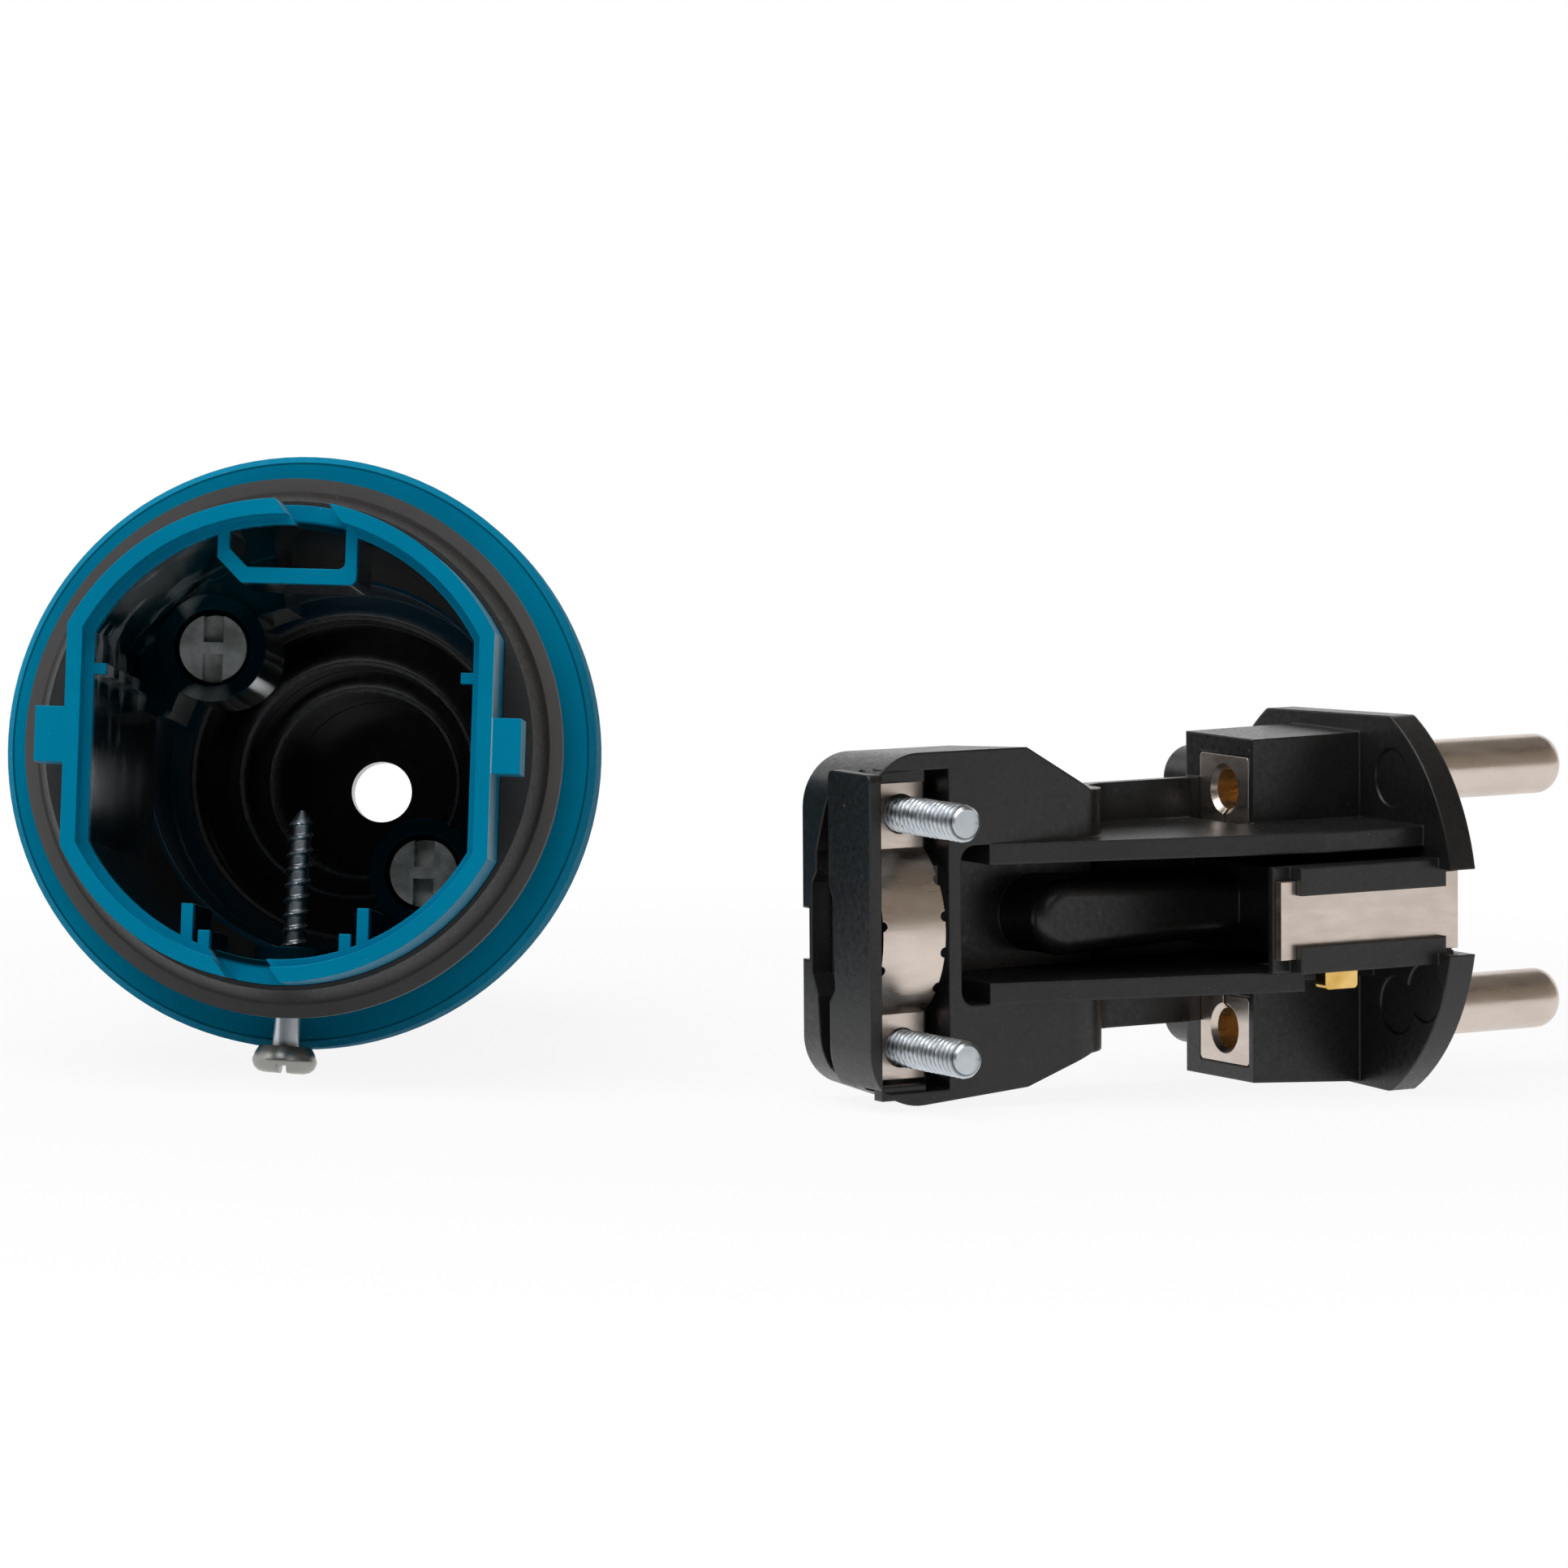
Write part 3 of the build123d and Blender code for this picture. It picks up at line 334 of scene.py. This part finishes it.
# teal: painted shade deep inside, painted reflections on the upper left wall, painted light on the right flank
# and a painted shade line on the flange
tealSettings = {"dark": (0.0, 0.185, 0.330, 1), "light": (0.0, 0.215, 0.375, 1), "cloudScale": 70,
                "grainScale": 2600, "rough": 0.34, "roughSpread": 0.06, "bump": 0.06, "bumpDepth": 0.1 * mm,
                "specks": 0.4, "speckScale": 2600, "speckFrom": 0.80, "dust": (0.45, 0.62, 0.68, 1),
                "specular": 0.4, "tint": (0.05, 0.75, 1.0, 1), "edge": 0.12 * mm,
                "insideShadeColor": (0.0, 0.012, 0.020, 1), "insideDepth": (2.6 * mm, 4.4 * mm),
                "insideRadius": 17.3 * mm, "insideFade": 0.3 * mm, "insideFlat": 15.7 * mm, "insideGloss": 0.4,
                "paintedReflections": 0.6, "reflectionScale": 170, "reflectionDetail": 2.0, "reflectionFrom": (0.52, 0.62),
                "reflectionSide": (-6 * mm, -11 * mm), "reflectionHeight": (-7 * mm, 4 * mm),
                "reflectionColor": (0.60, 0.63, 0.62, 1),
                "flankLight": 0.5, "flankLightSide": (16.6 * mm, 16.7 * mm), "flankLightDepth": (2.0 * mm, 5.0 * mm),
                "flankLightColor": (0.42, 0.52, 0.55, 1), "rimRadius": (22.8 * mm, 22.9 * mm), "rimMatte": 2.4,
                "shadeLine": 0.7, "shadeLineRadius": (22.72 * mm, 22.88 * mm), "shadeLineColor": (0.0, 0.035, 0.06, 1)}
finishes["housing_teal"] = mouldedPlastic("tealPlastic", tealSettings)

# boot: painted dark teal shade at the mouth of its bore and painted highlights on the rims of its steps
bootSettings = {"dark": (0.003, 0.003, 0.003, 1), "light": (0.006, 0.006, 0.006, 1), "cloudScale": 90,
                "grainScale": 1800, "rough": 0.44, "roughSpread": 0.08, "bump": 0.015, "bumpDepth": 0.1 * mm,
                "specular": 0.7, "edge": 0.2 * mm, "steps": (13.1 * mm, 9.6 * mm, 7.7 * mm),
                "stepRound": 1.3 * mm, "stepDrop": 0.12 * mm, "innerDepth": (53 * mm, 65 * mm),
                "innerRadius": (15.6 * mm, 8.2 * mm), "innerGloss": 0.38,
                "stepHighlights": ((53.03 * mm, 0.5), (57.03 * mm, 0.8), (62.03 * mm, 1.0)), "stepHighlightWidth": 0.3 * mm,
                "stepHighlightColor": (0.95, 0.94, 0.90, 1), "throatShade": (0.0, 0.08, 0.15, 1), "throatShadeRadius": 13.6 * mm}
finishes["boot_rubber"] = mouldedPlastic("bootRubber", bootSettings)

# seal: its outer lip carries painted light
sealSettings = {"dark": (0.012, 0.0115, 0.0115, 1), "light": (0.020, 0.019, 0.019, 1), "cloudScale": 160,
                "lipLightColor": (0.070, 0.066, 0.064, 1), "lipLightRadius": (20.1 * mm, 20.25 * mm),
                "grainScale": 2200, "rough": 0.55, "roughSpread": 0.08, "bump": 0.16, "bumpDepth": 0.1 * mm,
                "specks": 0.4, "speckScale": 2600, "speckFrom": 0.80, "dust": (0.35, 0.35, 0.35, 1)}
finishes["seal_rubber"] = mouldedPlastic("sealRubber", sealSettings)

pegSettings = {"dark": (0.36, 0.37, 0.36, 1), "light": (0.80, 0.81, 0.80, 1), "cloudScale": 420,
               "grainScale": 1500, "rough": 0.24, "roughSpread": 0.08, "bump": 0.20, "bumpDepth": 0.1 * mm,
               "edge": 0.15 * mm}
finishes["peg_plastic"] = mouldedPlastic("pegPlastic", pegSettings)

insertSettings = {"dark": (0.006, 0.006, 0.006, 1), "light": (0.011, 0.011, 0.011, 1), "cloudScale": 110,
                  "grainScale": 2400, "rough": 0.34, "roughSpread": 0.07, "bump": 0.10, "bumpDepth": 0.1 * mm,
                  "specks": 0.4, "speckScale": 2400, "speckFrom": 0.80, "dust": (0.30, 0.30, 0.30, 1),
                  "edge": 0.25 * mm}
finishes["insert_plastic"] = mouldedPlastic("insertPlastic", insertSettings)

nickelSettings = {"dark": (0.63, 0.547, 0.485, 1), "light": (0.71, 0.62, 0.555, 1), "cloudScale": 160,
                  "brushScale": 300, "stretch": (1.0, 1.0, 5.0), "rough": 0.30, "roughSpread": 0.05,
                  "bump": 0.03, "bumpDepth": 0.05 * mm, "edge": 0.10 * mm,
                  "holeColor": (1.0, 0.80, 0.52, 1), "holeRadius": 1.66 * mm, "holeShift": -0.1 * mm,
                  "holeHeights": (9.0 * mm, -10.0 * mm), "holeDepth": (-12.0 * mm, -6.8 * mm)}
finishes["nickel"] = platedMetal("nickelPlate", nickelSettings)

# zinc: the grooves of the threads carry painted shade
zincSettings = {"dark": (0.52, 0.57, 0.61, 1), "light": (0.62, 0.66, 0.70, 1), "cloudScale": 500,
                "brushScale": 700, "stretch": (1.0, 1.0, 1.0), "rough": 0.34, "roughSpread": 0.05,
                "bump": 0.02, "bumpDepth": 0.05 * mm,
                "headColor": (0.30, 0.30, 0.28, 1), "headHeight": (-23.2 * mm, -22.8 * mm),
                "headReach": 5 * mm,
                "grooveShadeColor": (0.05, 0.06, 0.07, 1), "grooveShadeFrom": (0.30, 0.80), "grooveShadeShare": 0.85}
finishes["zinc"] = platedMetal("zincPlate", zincSettings)

brassSettings = {"dark": (0.66, 0.40, 0.10, 1), "light": (0.82, 0.56, 0.20, 1), "cloudScale": 400,
                 "brushScale": 500, "stretch": (1.0, 1.0, 4.0), "rough": 0.20, "roughSpread": 0.06,
                 "bump": 0.03, "bumpDepth": 0.05 * mm, "edge": 0.10 * mm}
finishes["brass"] = platedMetal("plainBrass", brassSettings)

slotOf = {s["node"]: s["material_slot"] for s in frame["record"]["subparts"]}
for nodeName, obj in nodes.items():
    obj.data.materials.clear()
    obj.data.materials.append(finishes[slotOf[nodeName]])
print("stage: materials on nodes")


# screw threads: one rule for the machine screws and the self-tapping screw

meshRule = {"weld": 0.002 * mm, "sharpAngle": 38, "headSteps": 40, "slotReach": 4}
threadInputs = {"Crest Radius": "Float", "Root Radius": "Float", "Pitch": "Float", "Start": "Float",
                "End": "Float", "Ridge Share": "Float", "Tip Radius": "Float", "Tip Slope": "Float",
                "Groove Shade": "Float", "Around": "Int", "Along": "Int"}


# a flat grid is wound round the axis, and a stored attribute tells the material where it lies low, so that it
# paints shade into the grooves
def threadTree():
    tree = bpy.data.node_groups.new("screwThread", "GeometryNodeTree")
    tree.interface.new_socket("Geometry", in_out="OUTPUT", socket_type="NodeSocketGeometry")
    for name, kind in threadInputs.items():
        tree.interface.new_socket(name, in_out="INPUT", socket_type="NodeSocket" + kind)
    sizes = addNode(tree, "NodeGroupInput").outputs
    out = addNode(tree, "NodeGroupOutput")

    def calc(operation, *values):
        return calculate(tree, operation, *values)

    def step(kind, links, values=None, **props):
        node = addNode(tree, kind, values, **props)
        for key, source in links.items():
            wire(tree, source, node.inputs[key])
        return node.outputs[0]

    def endCap(radius, height):
        around = calc("SUBTRACT", sizes["Around"], 1)
        disc = step("GeometryNodeMeshCircle", {"Vertices": around, "Radius": radius}, fill_type="TRIANGLE_FAN")
        lift = step("ShaderNodeCombineXYZ", {"Z": height})
        return step("GeometryNodeSetPosition", {"Geometry": disc, "Offset": lift})

    grid = step("GeometryNodeMeshGrid", {"Vertices X": sizes["Around"], "Vertices Y": sizes["Along"]},
                {"Size X": 1.0, "Size Y": 1.0})
    split = addNode(tree, "ShaderNodeSeparateXYZ")
    wire(tree, addNode(tree, "GeometryNodeInputPosition").outputs[0], split.inputs[0])
    turn = calc("ADD", split.outputs[0], 0.5)
    share = calc("ADD", split.outputs[1], 0.5)

    length = calc("SUBTRACT", sizes["End"], sizes["Start"])
    height = calc("ADD", sizes["Start"], calc("MULTIPLY", share, length))
    phase = calc("FRACT", calc("SUBTRACT", calc("DIVIDE", height, sizes["Pitch"]), turn))
    offset = calc("ABSOLUTE", calc("SUBTRACT", phase, 0.5))
    flank = calc("DIVIDE", calc("MULTIPLY", offset, 2.0), sizes["Ridge Share"])
    ridge = calc("MAXIMUM", 0.0, calc("SUBTRACT", 1.0, flank))

    depth = calc("SUBTRACT", sizes["Crest Radius"], sizes["Root Radius"])
    radius = calc("ADD", sizes["Root Radius"], calc("MULTIPLY", depth, ridge))
    fromTip = calc("SUBTRACT", sizes["End"], height)
    taper = calc("ADD", sizes["Tip Radius"], calc("MULTIPLY", fromTip, sizes["Tip Slope"]))
    fromStart = calc("SUBTRACT", height, sizes["Start"])
    radius = calc("MINIMUM", calc("MINIMUM", radius, taper), calc("ADD", sizes["Root Radius"], fromStart))

    angle = calc("MULTIPLY", turn, 2 * pi)
    wound = step("ShaderNodeCombineXYZ", {"X": calc("MULTIPLY", radius, calc("COSINE", angle)),
                                          "Y": calc("MULTIPLY", radius, calc("SINE", angle)), "Z": height})
    # where the thread lies low, shade is painted into the groove
    grooveShade = calc("MULTIPLY", calc("SUBTRACT", 1.0, ridge), sizes["Groove Shade"])
    marked = step("GeometryNodeStoreNamedAttribute", {"Geometry": grid, "Value": grooveShade}, {"Name": "grooveShade"})
    thread = step("GeometryNodeSetPosition", {"Geometry": marked, "Position": wound})

    join = addNode(tree, "GeometryNodeJoinGeometry")
    tip, start = endCap(sizes["Tip Radius"], sizes["End"]), endCap(sizes["Root Radius"], sizes["Start"])
    for piece in (thread, tip, start):
        wire(tree, piece, join.inputs[0])
    welded = step("GeometryNodeMergeByDistance", {"Geometry": join.outputs[0]}, {"Distance": meshRule["weld"]})
    wire(tree, welded, out.inputs[0])
    return tree


threadRule = threadTree()


def evaluatedMesh(obj):
    bpy.context.view_layer.update()
    return bpy.data.meshes.new_from_object(obj.evaluated_get(bpy.context.evaluated_depsgraph_get()))


def threadMesh(name, s):
    holder = bpy.data.objects.new(name + "Holder", bpy.data.meshes.new(name + "Holder"))
    scene.collection.objects.link(holder)
    mod = holder.modifiers.new("thread", "NODES")
    mod.node_group = threadRule
    keys = {i.name: i.identifier for i in threadRule.interface.items_tree if i.in_out == "INPUT"}
    for label, value in s.items():
        mod[keys[label]] = value
    mesh = evaluatedMesh(holder)
    bpy.data.objects.remove(holder)
    return mesh


def toMesh(bm, name):
    mesh = bpy.data.meshes.new(name)
    bm.to_mesh(mesh)
    bm.free()
    return mesh


def revolved(profile):
    steps = meshRule["headSteps"]
    turns = [2 * pi * i / steps for i in range(steps)]
    bm = bmesh.new()
    rings = []
    for radius, height in profile:
        around = [(radius * cos(t), radius * sin(t), height) for t in turns] if radius else [(0, 0, height)]
        rings.append([bm.verts.new(spot) for spot in around])
    for low, high in zip(rings, rings[1:]):
        for i in range(steps):
            j = (i + 1) % steps
            corners = [low[i % len(low)], low[j % len(low)], high[j % len(high)], high[i % len(high)]]
            bm.faces.new(list(dict.fromkeys(corners)))
    bmesh.ops.recalc_face_normals(bm, faces=bm.faces)
    return bm


def slottedHead(name, profile, s):
    body = bpy.data.objects.new(name + "Body", toMesh(revolved(profile), name + "Body"))
    size = Matrix.Diagonal((meshRule["slotReach"] * s["headRadius"], s["slotWidth"], 2 * s["slotDepth"], 1))
    turn = Matrix.Rotation(radians(s["slotTurn"]), 4, "Z")
    cutBm = bmesh.new()
    bmesh.ops.create_cube(cutBm, size=1.0, matrix=Matrix.Translation((0, 0, s["headLow"])) @ turn @ size)
    cutter = bpy.data.objects.new(name + "Cut", toMesh(cutBm, name + "Cut"))
    for obj in (body, cutter):
        scene.collection.objects.link(obj)
    mod = body.modifiers.new("slot", "BOOLEAN")
    mod.operation = "DIFFERENCE"
    mod.solver = "EXACT"
    mod.object = cutter
    mesh = evaluatedMesh(body)
    for obj in (body, cutter):
        bpy.data.objects.remove(obj)
    return mesh


def joined(name, meshes, place, finish):
    bm = bmesh.new()
    for mesh in meshes:
        bm.from_mesh(mesh)
    bmesh.ops.remove_doubles(bm, verts=bm.verts, dist=meshRule["weld"])
    bmesh.ops.triangulate(bm, faces=bm.faces)
    bmesh.ops.dissolve_degenerate(bm, edges=bm.edges, dist=meshRule["weld"])
    bmesh.ops.transform(bm, matrix=place, verts=bm.verts)
    mesh = toMesh(bm, name)
    mesh.materials.clear()
    mesh.materials.append(finish)
    for poly in mesh.polygons:
        poly.material_index = 0
    obj = bpy.data.objects.new(name, mesh)
    scene.collection.objects.link(obj)
    mesh.shade_smooth()
    mesh.set_sharp_from_angle(angle=radians(meshRule["sharpAngle"]))
    return obj


def addPiece(obj, node):
    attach(obj, "root")
    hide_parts(node)


# clamp screws: axis from the far side toward the open side of the insert
# headEdge: inset from the head's radius and rise above its low end

clampScrew = {"place": -44.4 * mm, "spread": 9.05 * mm,
              "headLow": -4.1 * mm, "headHigh": -2.2 * mm, "headRadius": 2.75 * mm,
              "headEdge": ((0.5 * mm, 0.0), (0.15 * mm, 0.15 * mm), (0.0, 0.5 * mm)),
              "slotWidth": 0.6 * mm, "slotDepth": 0.9 * mm, "slotTurn": 0,
              "thread": {"Crest Radius": 1.48 * mm, "Root Radius": 1.12 * mm, "Pitch": 0.62 * mm,
                         "Start": -2.4 * mm, "End": 13.0 * mm, "Ridge Share": 0.9, "Tip Radius": 1.08 * mm,
                         "Tip Slope": 1.0, "Groove Shade": 1.0, "Around": 33, "Along": 270}}


def makeClampScrew(name, side, node):
    s = clampScrew
    radius, low, high = s["headRadius"], s["headLow"], s["headHigh"]
    edge = [(radius - inset, low + rise) for inset, rise in s["headEdge"]]
    head = slottedHead(name, [(0, low), *edge, (radius, high), (0, high)], s)
    thread = threadMesh(name, s["thread"])
    place = insertAt @ Matrix.Translation((s["place"], 0, side * s["spread"])) @ Matrix.Rotation(pi / 2, 4, "X")
    addPiece(joined(name, [head, thread], place, finishes["zinc"]), node)


makeClampScrew("clampScrewUpper", 1, "clamp_screw_upper")
makeClampScrew("clampScrewLower", -1, "clamp_screw_lower")
print("stage: clamp screws")


# self-tapping screw through the collar: it leans about the point where it passes the wall
# dome and underside: share of the head's radius, and rise above its low end or drop below its high end

housingScrew = {"depth": 13.9 * mm, "pivot": -18.75 * mm, "lean": 2.2,
                "headLow": -25.45 * mm, "headHigh": -23.35 * mm, "headRadius": 2.55 * mm,
                "dome": ((0.62, 0.0), (0.80, 0.12 * mm), (0.93, 0.40 * mm), (1.0, 0.85 * mm), (1.0, 1.05 * mm)),
                "underside": ((0.92, 0.5 * mm), (0.80, 0.0)),
                "shank": 1.05 * mm, "plainEnd": -17.9 * mm, "plainTaper": 0.3 * mm, "plainTip": 0.7 * mm,
                "slotWidth": 0.83 * mm, "slotDepth": 0.6 * mm, "slotTurn": 90,
                "thread": {"Crest Radius": 1.05 * mm, "Root Radius": 0.80 * mm, "Pitch": 1.2 * mm,
                           "Start": -18.2 * mm, "End": -4.75 * mm, "Ridge Share": 0.42, "Tip Radius": 0.2 * mm,
                           "Tip Slope": 0.7, "Groove Shade": 0.6, "Around": 33, "Along": 260}}


def makeHousingScrew():
    s = housingScrew
    radius, low, high, end = s["headRadius"], s["headLow"], s["headHigh"], s["plainEnd"]
    dome = [(share * radius, low + rise) for share, rise in s["dome"]]
    underside = [(share * radius, high - drop) for share, drop in s["underside"]]
    shank = [(s["shank"], high), (s["shank"], end - s["plainTaper"]), (s["plainTip"], end), (0, end)]
    head = slottedHead("housingScrew", [(0, low), *dome, *underside, *shank], s)
    thread = threadMesh("housingScrew", s["thread"])
    axis = Matrix.Translation((0, s["depth"], 0))
    pivot = Matrix.Translation((0, 0, s["pivot"]))
    place = housingAt @ axis @ pivot @ Matrix.Rotation(radians(s["lean"]), 4, "Y") @ pivot.inverted()
    addPiece(joined("housingScrew", [head, thread], place, finishes["zinc"]), "housing_screw")


makeHousingScrew()
print("stage: housing screw")


# camera, floor and light

view = {"azimuth": -3.773, "elevation": 4.506, "roll": 1.004, "place": (0.04833, -0.75091, 0.08133),
        "lens": 214.66, "sensor": 36, "clip": (0.01, 50)}


def makeCamera():
    s = view
    azimuth, elevation, roll = (radians(s[name]) for name in ("azimuth", "elevation", "roll"))
    forward = Vector((sin(azimuth) * cos(elevation), cos(azimuth) * cos(elevation), -sin(elevation)))
    right = Vector((cos(azimuth), -sin(azimuth), 0))
    up = right.cross(forward)
    right, up = right * cos(roll) + up * sin(roll), up * cos(roll) - right * sin(roll)
    data = bpy.data.cameras.new("photoCamera")
    data.sensor_width = s["sensor"]
    data.lens = s["lens"]
    data.clip_start, data.clip_end = s["clip"]
    cam = bpy.data.objects.new("photoCamera", data)
    turn = Matrix((right, up, -forward)).transposed().to_4x4()
    cam.matrix_world = Matrix.Translation(s["place"]) @ turn
    scene.collection.objects.link(cam)
    scene.camera = cam


def seenDirectly(tree):
    path = addNode(tree, "ShaderNodeLightPath").outputs
    seen = calculate(tree, "MAXIMUM", path["Is Camera Ray"], path["Is Glossy Ray"])
    return calculate(tree, "MAXIMUM", seen, path["Is Transmission Ray"])


# the floor is plain paper to the light, and nearly white where it is seen
stageSet = {"size": 6.0, "segments": 4, "drop": 0.02 * mm, "color": (0.75, 0.75, 0.75, 1), "rough": 0.9,
            "glow": 0.90, "glowFrom": 0.085, "glowTo": 0.16}


def makeFloor():
    s = stageSet
    bm = bmesh.new()
    bmesh.ops.create_grid(bm, x_segments=s["segments"], y_segments=s["segments"], size=s["size"] / 2)
    floor = bpy.data.objects.new("floor", toMesh(bm, "floor"))
    scene.collection.objects.link(floor)
    floor.location.z = -s["drop"]
    mat, tree, shader = newMaterial("floorPaper")
    shader.inputs["Base Color"].default_value = s["color"]
    shader.inputs["Roughness"].default_value = s["rough"]
    shader.inputs["Specular IOR Level"].default_value = 0.0
    glow = addNode(tree, "ShaderNodeEmission", {"Color": (1, 1, 1, 1), "Strength": 1.0})
    coords = addNode(tree, "ShaderNodeTexCoord")
    reach = addNode(tree, "ShaderNodeVectorMath", operation="LENGTH")
    wire(tree, coords.outputs["Object"], reach.inputs[0])
    share = ramp(tree, reach.outputs["Value"], s["glowFrom"], s["glowTo"], s["glow"], 1.0)
    mix = addNode(tree, "ShaderNodeMixShader")
    wire(tree, product(tree, seenDirectly(tree), share), mix.inputs[0])
    wire(tree, shader.outputs[0], mix.inputs[1])
    wire(tree, glow.outputs[0], mix.inputs[2])
    wire(tree, mix.outputs[0], tree.nodes["Material Output"].inputs["Surface"])
    floor.data.materials.append(mat)


# cards that show only as reflections and shade
cardSet = {"front": {"place": (0, -1.0, 1.5), "turn": (90, 0, 0), "size": (4.0, 3.0),
                     "color": (0.02, 0.02, 0.02, 1)},
           "right": {"place": (1.4, 0.0, 0.80), "turn": (90, 0, 90), "size": (2.4, 1.5),
                     "color": (0.90, 0.80, 0.68, 1)},
           "ceiling": {"place": (0, 0, 1.30), "turn": (0, 0, 0), "size": (3.4, 3.0),
                       "color": (0.52, 0.49, 0.45, 1)}}


def makeCards():
    for name, s in cardSet.items():
        bm = bmesh.new()
        bmesh.ops.create_grid(bm, x_segments=1, y_segments=1, size=0.5)
        card = bpy.data.objects.new(name + "Card", toMesh(bm, name + "Card"))
        turn = Euler([radians(angle) for angle in s["turn"]]).to_matrix().to_4x4()
        card.matrix_world = Matrix.Translation(s["place"]) @ turn @ Matrix.Diagonal((*s["size"], 1, 1))
        scene.collection.objects.link(card)
        mat, _, shader = newMaterial(name + "Card")
        shader.inputs["Base Color"].default_value = s["color"]
        shader.inputs["Specular IOR Level"].default_value = 0.0
        card.data.materials.append(mat)


worldSet = {"ambient": 0.35}


def makeWorld():
    world = bpy.data.worlds.new("studio")
    world.use_nodes = True
    scene.world = world
    tree = world.node_tree
    plain = tree.nodes["Background"]
    plain.inputs["Color"].default_value = (1, 1, 1, 1)
    plain.inputs["Strength"].default_value = worldSet["ambient"]
    white = addNode(tree, "ShaderNodeBackground", {"Color": (1, 1, 1, 1), "Strength": 1.0})
    mix = addNode(tree, "ShaderNodeMixShader")
    wire(tree, seenDirectly(tree), mix.inputs[0])
    wire(tree, plain.outputs[0], mix.inputs[1])
    wire(tree, white.outputs[0], mix.inputs[2])
    wire(tree, mix.outputs[0], tree.nodes["World Output"].inputs["Surface"])


lightAim = Vector((0, 0, 0.02))
lightSet = {"top": {"place": (-0.22, -0.30, 0.80), "size": 0.9, "power": 8.0},
            "left": {"place": (-0.75, -0.45, 0.55), "size": 0.5, "power": 1.0},
            "right": {"place": (0.45, -0.80, 0.60), "size": 0.5, "power": 1.2}}


def makeLights():
    for name, s in lightSet.items():
        data = bpy.data.lights.new(name + "Softbox", "AREA")
        data.shape = "SQUARE"
        data.size = s["size"]
        data.energy = s["power"]
        lamp = bpy.data.objects.new(name + "Softbox", data)
        aim = lightAim - Vector(s["place"])
        lamp.matrix_world = Matrix.Translation(s["place"]) @ aim.to_track_quat("-Z", "Y").to_matrix().to_4x4()
        scene.collection.objects.link(lamp)


makeCamera()
makeFloor()
makeCards()
makeWorld()
makeLights()
scene.view_settings.view_transform = "Standard"
print("stage: camera and light")
